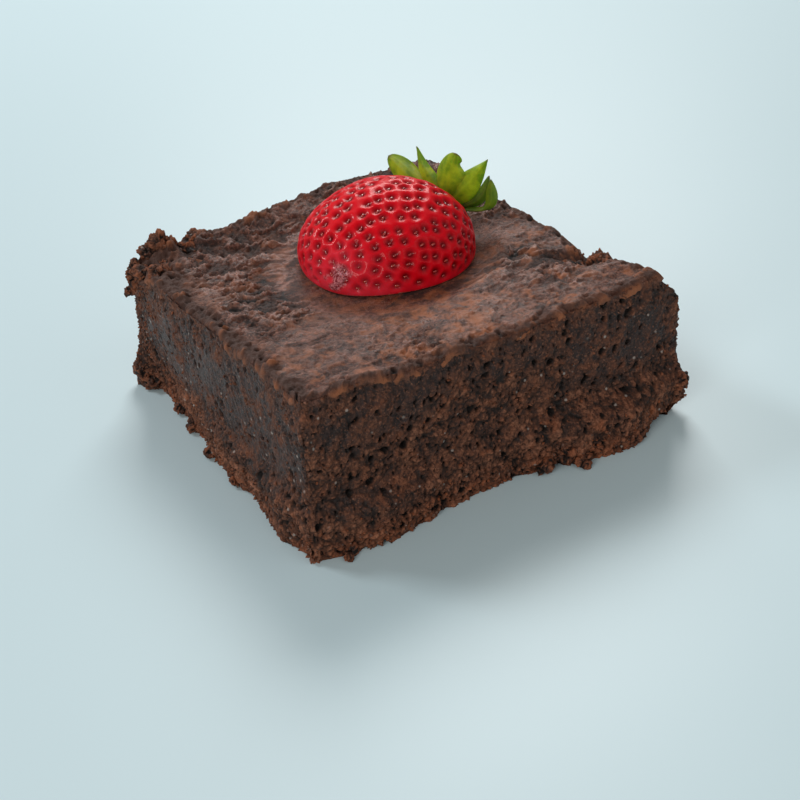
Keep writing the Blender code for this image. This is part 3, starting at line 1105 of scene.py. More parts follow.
@dataclass
class CutSides:
    """Crumb of the four cut sides: an outline carried upwards, pushed out and in by relief.

    The relief is the sum of slow waves, crumb noise, marks dragged by the knife and
    pores. Where the cake is dense and fudgy it is flatter, and near the base coarser.
    """

    block: Block
    columns: int = 476
    rows: int = 174
    wave: float = 0.38
    crumb: float = 0.32
    fine_crumb: float = 0.12
    big_lump: float = 0.16
    small_lump: float = 0.20
    drag: float = 0.42
    drag_angle: float = math.radians(60.0)
    pore: float = 1.10
    pinhole: float = 0.55
    proud: float = 0.38
    under_crust: float = 0.8
    undercut: float = 3.4
    undercut_height: float = 3.2
    lid_inset: float = 2.2
    lid_drop: float = 1.5
    lid_height: float = 22.5
    fudge: tuple[Patch, ...] = (
        Patch(CutSide.FRONT, (25.0, 18.0), (15.0, 9.0), 0.95),
        Patch(CutSide.FRONT, (-22.0, 22.0), (18.0, 6.0), 0.55),
        Patch(CutSide.FRONT, (-27.0, 7.0), (9.0, 6.0), 0.5),
        Patch(CutSide.FRONT, (4.0, 24.0), (18.0, 5.0), 0.6),
        Patch(CutSide.LEFT, (-12.0, 18.0), (32.0, 13.0), 1.05),
        Patch(CutSide.LEFT, (16.0, 18.0), (24.0, 12.0), 1.0),
        Patch(CutSide.RIGHT, (-12.0, 18.0), (20.0, 8.0), 0.8),
        Patch(CutSide.BACK, (8.0, 17.0), (24.0, 8.0), 0.8),
    )
    points: Points = field(init=False)
    outward: Points = field(init=False)
    marks: dict[str, Values] = field(init=False)

    def outline(self) -> Points:
        """Square from -1 to 1 walked from its front left corner, each side in turn.

        Returns:
            Points of the walk, its corners rounded.
        """
        t = np.linspace(-1.0, 1.0, self.columns, endpoint=False)
        one = np.ones_like(t)
        sides = ((t, -one), (one, t), (-t, one), (-one, -t))
        walk = np.concatenate([np.stack(pair, axis=-1) for pair in sides])
        return self.block.rounded(walk, self.block.corner_radius)

    def shape(self) -> None:
        """Work out every point of the four sides and its marks."""
        block = self.block
        walk = self.outline()[None, :, :]
        t = np.linspace(0.0, 1.0, self.rows)[:, None]
        plan = block.plan(np.broadcast_to(walk, (self.rows,) + walk.shape[1:]), t)
        rim = block.plan(walk, np.ones((1, 1)))
        crust = block.height(walk, rim)
        z = t * (crust - self.under_crust)
        normal = walk_normals(plan[self.rows // 2], 1)
        self.outward = np.broadcast_to(normal, (self.rows,) + normal.shape)
        flat = np.concatenate([plan, np.broadcast_to(z[..., None], plan.shape[:2] + (1,))], axis=-1)

        side_of = np.broadcast_to(np.repeat(np.arange(4), self.columns), flat.shape[:2])
        along = np.where(side_of % 2 == 0, flat[..., 0], flat[..., 1])
        relief, self.marks = self.relief(flat, side_of, along, crust - flat[..., 2])
        depth = np.minimum(relief, self.proud) - block.inset - self.torn(flat, t)
        self.points = flat + self.outward * depth[..., None]

    def torn(self, flat: Points, t: Values) -> Values:
        """How far the sides stand back: at the torn corner, below the notch and at the base.

        Args:
            flat: Points of the plain sides.
            t: Share of the height of each row.

        Returns:
            Millimetres inwards.
        """
        block = self.block
        corner = fade(0.0, 9.0, away_from(block.torn_corner, flat)) * ease(0.35, 0.75, t)
        notch = fade(0.0, 6.0, away_from(block.notch, flat)) * ease(0.70, 0.95, t)
        rough = 1.0 + 0.9 * layered_noise(flat, 3.2, 3, 0.6, 301)
        near_right = fade(3.0, 13.0, away_from(block.base[1], flat))
        under = fade(0.0, self.undercut_height, flat[..., 2]) * (0.35 + self.undercut * near_right)
        return np.clip((0.8 * corner + 1.0 * notch) * rough, 0.0, 2.2) + under

    def relief(self, flat: Points, side_of: Values, along: Values, below: Values
               ) -> tuple[Values, dict[str, Values]]:
        """Relief of the sides and the marks that go with it.

        Args:
            flat: Points of the plain sides.
            side_of: Number of the cut side of each point.
            along: Place along its side.
            below: Depth below the crust.

        Returns:
            Relief in millimetres, out of the side, and the marks.
        """
        z = flat[..., 2]
        dense = 0.55 * fade(2.0, 6.5, below + 1.5 * soft_noise(flat, 6.0, 11))
        for patch in self.fudge:
            dense = np.maximum(dense, patch.share(side_of, along + 2.0 * soft_noise(flat, 7.0, 12), z))
        dense = np.clip(dense * (0.8 + 0.5 * soft_noise(flat, 4.0, 13)), 0.0, 1.0)
        gritty = fade(4.0, 9.0, z + 1.6 * soft_noise(flat, 7.0, 14))
        loose = np.clip(1.0 - 0.75 * dense, 0.0, 1.0)

        wave = self.wave * (soft_noise(flat, 13.0, 21) + 0.6 * soft_noise(flat, 5.5, 22))
        warped = flat + 0.42 * drift(flat, 1.6, 31)
        crumb = layered_noise(warped, 2.3, 4, 0.66, 41)
        fine = layered_noise(warped, 0.7, 2, 0.7, 47)
        first, second = nearest_two(warped, 2.5, 141)
        big = ease(0.0, 0.42, second - first)
        first, second = nearest_two(warped, 1.15, 151)
        small = ease(0.0, 0.45, second - first)
        run = along * math.cos(self.drag_angle) + z * math.sin(self.drag_angle)
        across = along * math.sin(self.drag_angle) - z * math.cos(self.drag_angle)
        stretched = np.stack([run / 5.5, across + 0.5 * soft_noise(flat, 5.0, 51), side_of * 7.0], axis=-1)
        drag = layered_noise(stretched, 1.35, 2, 0.6, 52)
        drag_share = np.clip(0.35 + 0.8 * soft_noise(flat, 9.0, 53), 0.0, 1.0) * (1.0 - gritty)

        open_crumb = np.clip(0.02 + 0.58 * loose + 0.25 * soft_noise(flat, 8.0, 61), 0.0, 0.8)
        pores = nearest_holes(warped, 1.7, (0.22, 0.80), np.clip(1.3 * open_crumb + 0.03, 0.0, 1.0), 71)
        pinholes = nearest_holes(warped, 0.9, (0.14, 0.38), 0.12 + 0.70 * loose, 81)

        lumps = self.big_lump * (big - 0.7) + self.small_lump * (small - 0.7)
        relief = wave + loose * (1.0 + 0.4 * gritty) * (self.crumb * crumb + self.fine_crumb * fine + lumps)
        relief = relief + self.drag * drag * drag_share * (1.0 - 0.4 * dense)
        relief = relief - self.pore * pores - self.pinhole * pinholes * (0.20 + 0.80 * loose)
        # The pit mark is painted shade: dark in pores, pinholes and the crevices between lumps.
        gaps = loose * (0.35 * (1.0 - big) + 0.35 * (1.0 - small))
        hollow = np.clip(1.25 * pores + 0.8 * pinholes + gaps - 0.45 * crumb * loose - 0.20, 0.0, 1.0)
        tone = 0.44 + 0.22 * gritty - 0.42 * dense + 0.34 * crumb + 0.20 * (small - 0.6) * loose
        tone = np.clip(tone + 0.22 * drag * drag_share, 0.0, 1.0)
        rust = ease(0.25, 0.9, layered_noise(flat, 1.7, 3, 0.6, 91) + 0.5 * crumb) * (0.25 + 0.40 * gritty)
        rust = rust * (1.0 - 0.5 * dense)
        low = fade(0.5, 5.5, z + 0.9 * crumb + 1.2 * soft_noise(flat, 4.0, 92))
        rust = np.maximum(rust, low * 0.50 * (1.0 - hollow))
        under_rim = fade(0.6, 2.0, below + 0.9 * crumb) * (side_of != CutSide.LEFT.value)
        rust = np.maximum(rust, 0.35 * under_rim)
        return relief, {"pit": hollow, "tone": tone, "rust": rust}

    def wedge(self, side: CutSide) -> Skin:
        """One side and the cake behind it, back to the block's upright middle line.

        Args:
            side: Which side.

        Returns:
            A closed skin: the side, two inner walls, a flat base and a hidden top.
        """
        first = side.value * self.columns
        pick = np.arange(first, first + self.columns + 1) % (4 * self.columns)
        outer = self.points[:, pick]
        lowest = outer[:1].copy()
        lowest[..., 2] = 0.0
        tucked = outer[-1:] - self.outward[-1:, pick] * self.lid_inset
        tucked[..., 2] = np.minimum(outer[-1:, :, 2] - self.lid_drop, self.lid_height)
        rows = np.concatenate([lowest, outer[1:], tucked])
        count = len(rows)
        axis = np.zeros((count, 1, 3))
        axis[:, 0, 2] = np.linspace(0.0, CORE_HEIGHT, count)
        loop = np.concatenate([rows, axis], axis=1)
        width = loop.shape[1]
        ring = np.arange(width)
        faces = [grid_faces(count, width, wrap=True),
                 fan_faces(ring[:-1][::-1], width - 1, closed=False),
                 fan_faces(ring[:-1] + (count - 1) * width, count * width - 1, closed=False)]
        marks = {}
        for name, values in self.marks.items():
            stacked = np.concatenate([values[:, pick], values[-1:, pick]])
            marks[name] = np.concatenate([stacked, np.full((count, 1), 0.5)], axis=1).ravel()
        return Skin(loop.reshape(-1, 3), faces, marks).outward()

    def build(self, effects: Effects) -> list[bpy.types.Object]:
        """Make the four wedges.

        Args:
            effects: Shared shader groups.

        Returns:
            The four pieces.
        """
        self.shape()
        finish = CrumbFinish().material(effects)
        wedges = [self.wedge(side).build(f"crumb_{side.name.lower()}", finish) for side in CutSide]
        return [settle(wedge, "brownie") for wedge in wedges]


@dataclass
class Crust:
    """The thin baked crust: a height over the plan, rolled over the edges and tucked under.

    Its relief is wrinkles (one minus the size of a noise, sharpened), small blisters, fine
    grain and cracks. Where it is broken away or worn, mostly along the left rim, the coarse
    crumb's relief takes over.
    """

    block: Block
    cells: int = 288
    roll: float = 1.3
    roll_rows: int = 8
    skirt: float = 0.3
    left_wear: float = 3.2
    rim_wear: float = 1.5
    swell: float = 0.45
    wrinkle: float = 0.72
    blister: float = 0.32
    fine_wrinkle: float = 0.26
    grain: float = 0.26
    pinhole: float = 0.30
    crackle: float = 0.32
    crack: float = 1.5
    crumb: float = 1.10
    pore: float = 1.2
    hem_drops: tuple[float, float] = (0.25, 0.9)
    hem_tucks: tuple[float, float] = (0.6, 2.2)

    def relief(self, flat: Points, broken: Values) -> tuple[Values, dict[str, Values]]:
        """Relief of the crust and its marks.

        Args:
            flat: Points of the smooth crust.
            broken: Share broken away.

        Returns:
            Rise in millimetres and the marks.
        """
        level = flat * np.array([1.0, 1.0, 0.0])
        bend = drift(level, 3.0, 131)
        warped = level + 0.9 * bend
        calm = ease(-0.35, 0.45, soft_noise(level, 11.0, 141) - flat[..., 1] / 60.0)
        swells = soft_noise((level + 2.0 * bend) * np.array([0.35, 1.0, 1.0]), 5.0, 136)
        folds = (1.0 - np.abs(layered_noise(warped * np.array([0.7, 1.3, 1.0]), 3.4, 3, 0.6, 142))) ** 3
        small = (1.0 - np.abs(layered_noise(warped, 1.25, 2, 0.6, 149))) ** 3
        first, second = nearest_two(warped * np.array([0.7, 1.15, 1.0]), 2.9, 146)
        crackle = fade(0.0, 0.09, second - first) * ease(-0.1, 0.5, soft_noise(level, 7.0, 147))
        blisters = nearest_holes(warped, 3.4, (0.5, 1.5), 0.35, 151)
        grain = layered_noise(warped, 0.65, 2, 0.7, 161)
        pinholes = nearest_holes(warped, 1.3, (0.12, 0.36), 0.25 + 0.30 * (1.0 - calm), 171)
        crumb = layered_noise(flat + 0.4 * bend, 2.4, 4, 0.68, 181)
        pores = nearest_holes(flat + 0.4 * bend, 1.8, (0.3, 0.9), 0.7, 191)
        cracks = np.zeros(flat.shape[:-1])
        split = np.zeros(flat.shape[:-1])
        for crack in self.block.cracks:
            share = crack.share(flat[..., 0], flat[..., 1])
            cracks = np.maximum(cracks, self.crack * share * crack.depth)
            split = np.maximum(split, share)
        seat = self.block.seat.share(flat[..., 0], flat[..., 1])
        busy = 0.50 + 0.60 * (1.0 - calm)
        skin_rise = self.wrinkle * (folds - 0.35) + self.fine_wrinkle * (small - 0.3) + self.grain * grain
        skin_rise = skin_rise * busy + self.blister * blisters * calm * 0.6 + self.swell * swells
        skin_rise = skin_rise - self.pinhole * pinholes - self.crackle * crackle * busy
        crumb_rise = self.crumb * crumb - self.pore * pores - 0.2
        rise = blend(skin_rise, crumb_rise, broken) * (1.0 - seat) - cracks
        # The pit mark is painted shade: dark in pinholes, crackle lines, fold valleys and cracks, and in the
        # crumb's pores where broken.
        hollow = 0.9 * pinholes + 0.55 * crackle + 1.5 * (0.40 - folds) * busy * (1.0 - 0.5 * calm)
        hollow = np.clip(blend(hollow, 1.2 * pores - 0.6 * crumb, broken) + 1.3 * split, 0.0, 1.0)
        # Share of smooth film: glossier there, and painted sheen, as the shader paints it pale.
        streaks = layered_noise(warped * np.array([0.6, 1.4, 1.0]), 4.2, 3, 0.6, 205)
        sheen = 0.42 + 0.5 * streaks + 0.3 * grain
        film = blend(1.15 * ease(0.30, 0.88, folds + 0.2 * grain) - 0.05, sheen, 0.85 * calm)
        film = np.clip(film + 0.35 * blisters * calm + 0.25 * swells, 0.0, 1.0) * (1.0 - broken)
        sunny = 0.34 + 0.50 * ease(4.0, -26.0, flat[..., 1] - 0.35 * flat[..., 0])
        patchy = 0.6 * soft_noise(level, 6.0, 201) + 1.1 * layered_noise(warped, 1.8, 3, 0.7, 202)
        rust = sunny * ease(-0.20, 1.0, patchy)
        rust = blend(rust, 0.7 * ease(0.25, 0.75, crumb), broken)
        return rise, {"pit": hollow, "film": film, "rust": rust, "broken": broken}

    def worn(self, square: Points, flat: Points) -> Values:
        """Share worn down to crumb along the rim: wide on the left, narrow elsewhere.

        Args:
            square: Places on the unit square, -1 to 1 each way.
            flat: The same places on the crust.

        Returns:
            Share from 0 to 1.
        """
        gap = (1.0 - np.abs(square)) * self.block.span / 2
        from_left = gap[..., 0] + 100.0 * (square[..., 0] > 0.0)
        ragged = 1.8 * layered_noise(flat, 3.2, 3, 0.65, 261)
        reach = self.left_wear * (1.0 + 1.9 * ease(4.0, 30.0, flat[..., 1]))
        left = fade(0.3, 1.0, (from_left + ragged) / reach)
        nearest_rim = np.minimum(gap[..., 0], gap[..., 1])
        rest = fade(0.3 * self.rim_wear, self.rim_wear, nearest_rim + ragged)
        return np.maximum(left, 0.8 * rest)

    def skin(self) -> Skin:
        """The closed crust: grid on top, rolled skirt round it, hidden underside.

        Returns:
            The skin.
        """
        block = self.block
        n = self.cells
        side = np.linspace(-1.0, 1.0, n)
        square = np.stack(np.meshgrid(side, side, indexing="ij")[::-1], axis=-1)
        inner = 1.0 - 2.0 * self.roll / block.span
        square = block.rounded(square, max(block.corner_radius - self.roll, 0.5) * 1.02) * inner
        plan = block.plan(square, np.ones((1, 1)))
        height = block.height(square / inner, plan)
        flat = np.concatenate([plan, height[..., None]], axis=-1)
        torn = block.broken(plan)
        rise, marks = self.relief(flat, np.maximum(torn, self.worn(square / inner, flat)))
        top = flat + rise[..., None] * np.array([0.0, 0.0, 1.0])

        index = np.arange(n * n).reshape(n, n)
        ring = np.concatenate([index[0, :-1], index[:-1, -1], index[-1, :0:-1], index[:0:-1, 0]])
        edge = top.reshape(-1, 3)[ring]
        smooth = flat.reshape(-1, 3)[ring]
        out = walk_normals(smooth, 2)
        bound = {name: values.ravel()[ring] for name, values in marks.items()}
        fray = layered_noise(smooth, 2.2, 3, 0.6, 211)
        hem = self.skirt * np.clip(1.0 + 1.3 * fray, 0.1, 3.0)
        outer = block.rounded(square.reshape(-1, 2)[ring] / inner, block.corner_radius)
        stand_back = block.inset + 0.10 + 0.9 * torn.ravel()[ring]
        banded = ease(-37.0, -30.0, smooth[:, 0]) * (smooth[:, 1] < -28.0)
        loops, loop_marks = [], {name: [] for name in bound}

        def add_loop(share: float, drop: Values, tuck: float) -> None:
            """Add one loop of the skirt, where the crust gives way to crumb.

            Args:
                share: How far it has come from the crust's rim out to the cut side.
                drop: Depth under the rim.
                tuck: Millimetres inwards from the cut side.
            """
            side = block.plan(outer, 1.0 - drop / edge[:, 2])
            side = side - out[:, :2] * (stand_back + tuck)[:, None]
            place = np.concatenate([blend(edge[:, :2], side, share), (edge[:, 2] - drop)[:, None]], axis=1)
            worn = layered_noise(place, 2.2, 3, 0.65, 231)
            holes = nearest_holes(place, 1.5, (0.15, 0.55), 0.25 + 0.35 * share * np.ones_like(drop), 241)
            lower = ease(0.0, 0.7, drop)
            loops.append(place + out * ((0.34 * worn - 0.45 * holes) * lower)[:, None])
            shown = ease(0.35, 1.1, share * (1.0 - 0.35 * banded) + 0.45 * worn)
            # The skirt's pit mark is painted shade in its holes; its film share carries painted sheen.
            fresh = {"pit": 0.9 * holes, "film": 0.3 * (1.0 - shown), "broken": shown,
                     "rust": np.clip(0.28 * banded + 0.9 * worn, 0.0, 0.8) * share}
            for name, values in bound.items():
                loop_marks[name].append(np.clip(blend(values, fresh[name], lower), 0.0, 1.0))

        for k in range(1, self.roll_rows + 1):
            angle = 0.5 * math.pi * k / self.roll_rows
            add_loop(math.sin(angle), self.roll * (1.0 - math.cos(angle)) * np.ones_like(fray), 0.0)
        for k in range(1, 4):
            add_loop(1.0, self.roll + hem * k / 3.0, 0.04 * k)
        for drop, tuck in zip(self.hem_drops, self.hem_tucks):
            add_loop(1.0, self.roll + hem + drop, tuck)

        count = n * n
        width = len(ring)
        points = np.concatenate([top.reshape(-1, 3)] + loops + [[[0.0, 0.0, CORE_HEIGHT]]])
        added = count + np.arange(len(loops) * width).reshape(len(loops), width)
        rings = np.concatenate([ring[None, :], added])
        after = np.roll(rings, -1, axis=1)
        quads = np.stack([rings[:-1], rings[1:], after[1:], after[:-1]], axis=-1).reshape(-1, 4)
        faces = [grid_faces(n, n), quads, fan_faces(rings[-1][::-1], len(points) - 1)]
        for name, values in marks.items():
            marks[name] = np.concatenate([values.ravel()] + loop_marks[name] + [[0.0]])
        return Skin(points, faces, marks).outward()

    def build(self, effects: Effects) -> bpy.types.Object:
        """Make the crust."""
        crust = self.skin().build("baked_crust", CrustFinish().material(effects))
        return settle(crust, "brownie")


@dataclass(frozen=True)
class Lump:
    """A broken-off lump of crumb."""

    centre: tuple[float, float, float]
    radii: tuple[float, float, float]
    turn: float
    seed: int
    bulge: float = 0.36
    crumb: float = 0.85
    clods: float = 0.14
    pore: float = 0.35
    rows: int = 48
    columns: int = 72

    def skin(self) -> Skin:
        """A sphere of directions, its radius pushed by noise, stretched and turned.

        Returns:
            The closed skin, no lower than the base.
        """
        theta, phi = ball_angles(self.rows - 1, self.columns)
        way = np.stack([np.sin(theta) * np.cos(phi), np.sin(theta) * np.sin(phi),
                        np.cos(theta) * np.ones_like(phi)], axis=-1).reshape(-1, 3)
        way = np.concatenate([way, [[0.0, 0.0, 1.0], [0.0, 0.0, -1.0]]])
        size = float(np.mean(self.radii))
        body = way * np.array(self.radii)
        near = body + self.seed + 0.3 * soft_noise(body + self.seed, 1.0, 441)[:, None]
        first, second = nearest_two(near, 1.1, 431)
        clod = ease(0.0, 0.5, second - first)
        rough = self.crumb * layered_noise(near, 1.5, 4, 0.72, 411) + self.clods * (clod - 0.6)
        relief = self.bulge * layered_noise(near, 1.1 * size, 2, 0.6, 401) + rough / max(size, 0.8)
        pores = nearest_holes(near, 1.1, (0.25, 0.6), np.full(len(body), 0.75), 421)
        body = body * (1.0 + relief - self.pore * pores / max(size, 0.8))[:, None]
        c, s = math.cos(self.turn), math.sin(self.turn)
        body = body @ np.array([[c, s, 0.0], [-s, c, 0.0], [0.0, 0.0, 1.0]]) + np.array(self.centre)
        body[:, 2] = np.maximum(body[:, 2], 0.0)
        # The pit mark is painted shade: dark in pores and in the crevices between clods.
        marks = {"pit": np.clip(0.9 * pores + 0.8 * (0.6 - clod) - 0.9 * rough, 0.0, 1.0),
                 "tone": np.clip(0.46 + 0.7 * rough, 0.0, 1.0),
                 "rust": ease(-0.15, 0.45, rough + 0.3 * relief) * 0.50}
        return Skin(body, tube_faces(self.rows - 1, self.columns), marks).outward()


@dataclass
class BrokenLumps:
    """Lumps that stand at the torn corner, in the notch and along the base."""

    lumps: tuple[Lump, ...] = (
        Lump((-29.6, 33.6, 27.3), (3.0, 2.3, 3.7), 0.3, 11),
        Lump((-32.3, 33.4, 27.6), (1.9, 1.6, 1.7), 0.9, 12),
        Lump((-27.4, 34.2, 26.6), (2.2, 1.7, 2.2), 0.1, 13),
        Lump((-22.9, 34.2, 26.9), (2.3, 1.7, 2.2), 0.4, 14),
        Lump((-24.9, 32.2, 26.0), (2.2, 1.9, 1.5), 1.4, 15),
        Lump((-34.9, 33.6, 24.9), (1.9, 1.7, 1.9), 0.7, 16),
        Lump((-35.3, 29.8, 26.0), (1.4, 1.9, 1.2), 0.2, 17),
        Lump((-33.6, 26.4, 26.6), (1.8, 1.6, 1.2), 1.1, 18),
        Lump((-31.0, 29.4, 26.0), (2.4, 2.1, 1.4), 0.5, 19),
        Lump((-35.6, 35.1, 22.6), (1.4, 1.2, 1.8), 0.5, 20),
        Lump((-36.6, 35.9, 19.8), (0.9, 0.8, 0.9), 0.5, 31),
        Lump((-37.0, 35.0, 2.9), (1.9, 1.9, 2.7), 0.2, 32),
        Lump((-36.4, 32.2, 1.5), (1.6, 2.1, 1.5), 0.9, 33),
        Lump((-35.9, 20.5, 1.1), (1.1, 1.4, 1.1), 0.4, 34),
        Lump((-36.2, 13.3, 1.3), (1.3, 1.6, 1.3), 1.2, 35),
        Lump((-37.9, 3.6, 0.9), (1.0, 1.1, 0.9), 0.1, 36),
        Lump((-38.1, -7.1, 0.8), (0.8, 1.2, 0.8), 0.8, 37),
        Lump((-31.6, -35.6, 0.8), (1.5, 0.9, 0.9), 0.8, 38),
        Lump((6.4, -36.6, 1.2), (1.6, 1.1, 1.2), 0.3, 39),
        Lump((10.6, -37.3, 2.4), (1.8, 1.2, 1.2), 0.7, 40),
        Lump((13.4, -39.2, 1.1), (1.3, 1.3, 1.2), 0.2, 41),
        Lump((24.6, -39.1, 1.2), (2.1, 1.2, 1.1), 0.1, 42),
        Lump((37.6, -36.2, 6.3), (1.4, 1.4, 1.5), 0.5, 43),
        Lump((38.0, -33.4, 5.2), (1.0, 1.6, 1.3), 0.1, 44),
        Lump((33.0, -18.9, 23.6), (1.9, 3.1, 2.6), -0.2, 21),
        Lump((33.6, -16.4, 22.9), (1.3, 1.7, 1.9), 0.6, 22),
        Lump((33.9, -21.2, 24.6), (1.1, 1.5, 1.3), 0.1, 23),
        Lump((29.8, -15.4, 23.6), (1.6, 1.8, 1.2), 0.9, 24),
    )

    def build(self, effects: Effects) -> bpy.types.Object:
        """Make the lumps as one piece.

        Args:
            effects: Shared shader groups.

        Returns:
            The piece.
        """
        skin = Skin.joined([lump.skin() for lump in self.lumps])
        finish = CrumbFinish(name="broken_lump_crumb").material(effects)
        return settle(skin.build("broken_lumps", finish), "brownie")


@dataclass
class Grains:
    """Loose grains stuck to the crumb: small faceted lumps strewn over the cut sides.

    Each grain is one eight-sided lump, split once, its points pushed by their own random
    numbers, turned at random and half sunk in the side.
    """

    sides: CutSides
    count: int = 6000
    size: tuple[float, float] = (0.10, 0.30)
    scatter: float = 0.05
    stand_out: float = 0.15
    seed: int = 7

    @staticmethod
    def lump() -> tuple[Points, np.ndarray]:
        """Eight-sided lump split once: 18 points and 32 triangles.

        Returns:
            Unit points and triangles.
        """
        poles = np.array([[1, 0, 0], [0, 1, 0], [-1, 0, 0], [0, -1, 0], [0, 0, 1], [0, 0, -1]], float)
        big = [(a, (a + 1) % 4, 4) for a in range(4)] + [((a + 1) % 4, a, 5) for a in range(4)]
        points = [tuple(p) for p in poles]
        middle: dict[tuple[int, int], int] = {}

        def between(a: int, b: int) -> int:
            """Number of the point half way between two poles."""
            key = (min(a, b), max(a, b))
            if key not in middle:
                middle[key] = len(points)
                points.append(tuple(unit(poles[a] + poles[b])))
            return middle[key]

        faces = []
        for a, b, c in big:
            ab, bc, ca = between(a, b), between(b, c), between(c, a)
            faces += [(a, ab, ca), (b, bc, ab), (c, ca, bc), (ab, bc, ca)]
        return np.array(points), np.array(faces)

    def strewn(self, places: Points, sizes: Values, rng: np.random.Generator) -> Skin:
        """A lump at each place.

        Args:
            places: Middles of the grains.
            sizes: Their radii.
            rng: Source of the shapes.

        Returns:
            All grains as one skin.
        """
        template, triangles = self.lump()
        n, m = len(places), len(template)
        turn = rng.normal(size=(n, 4))
        turn /= np.linalg.norm(turn, axis=1, keepdims=True)
        w, x, y, z = turn.T
        matrix = np.stack([1 - 2 * (y * y + z * z), 2 * (x * y - z * w), 2 * (x * z + y * w),
                           2 * (x * y + z * w), 1 - 2 * (x * x + z * z), 2 * (y * z - x * w),
                           2 * (x * z - y * w), 2 * (y * z + x * w), 1 - 2 * (x * x + y * y)], axis=-1)
        stretch = rng.uniform(0.65, 1.35, size=(n, 1, 3))
        push = rng.uniform(0.68, 1.25, size=(n, m, 1))
        body = np.einsum("nij,nmj->nmi", matrix.reshape(n, 3, 3), template[None] * stretch * push)
        points = places[:, None, :] + body * sizes[:, None, None]
        points[..., 2] = np.maximum(points[..., 2], 0.0)
        faces = (triangles[None] + (np.arange(n) * m)[:, None, None]).reshape(-1, 3)
        shade = np.repeat(rng.uniform(0.20, 0.95, size=n), m)
        rust = np.repeat(rng.uniform(0.0, 1.0, size=n) ** 2.2 * 0.9, m)
        return Skin(points.reshape(-1, 3), [faces], {"pit": np.zeros(n * m), "tone": shade, "rust": rust})

    def build(self, effects: Effects) -> bpy.types.Object:
        """Strew the grains, thickest near the base and at the torn corner.

        Args:
            effects: Shared shader groups.

        Returns:
            The piece.
        """
        rng = np.random.default_rng(self.seed)
        points = self.sides.points.reshape(-1, 3)
        outward = self.sides.outward.reshape(-1, 3)
        dense = 1.0 - np.clip(self.sides.marks["tone"].ravel() * 1.6, 0.0, 1.0)
        to_corner = away_from(self.sides.block.torn_corner, points)
        weight = 0.25 + 1.6 * fade(1.0, 8.0, points[:, 2]) + 2.2 * fade(4.0, 11.0, to_corner)
        weight = weight * (1.0 - 0.8 * dense)
        picked = rng.choice(len(points), size=self.count, p=weight / weight.sum())
        sizes = blend(self.size[0], self.size[1], rng.uniform(size=self.count) ** 2.0)
        places = points[picked] + outward[picked] * (sizes * self.stand_out)[:, None]
        places = places + rng.normal(scale=self.scatter, size=places.shape)
        finish = CrumbFinish(name="loose_grain_crumb", light=(0.20, 0.11, 0.08)).material(effects)
        grains = self.strewn(places, sizes, rng).build("loose_grains", finish)
        return settle(grains, "brownie")


# ---------------------------------------------------------------- the strawberry

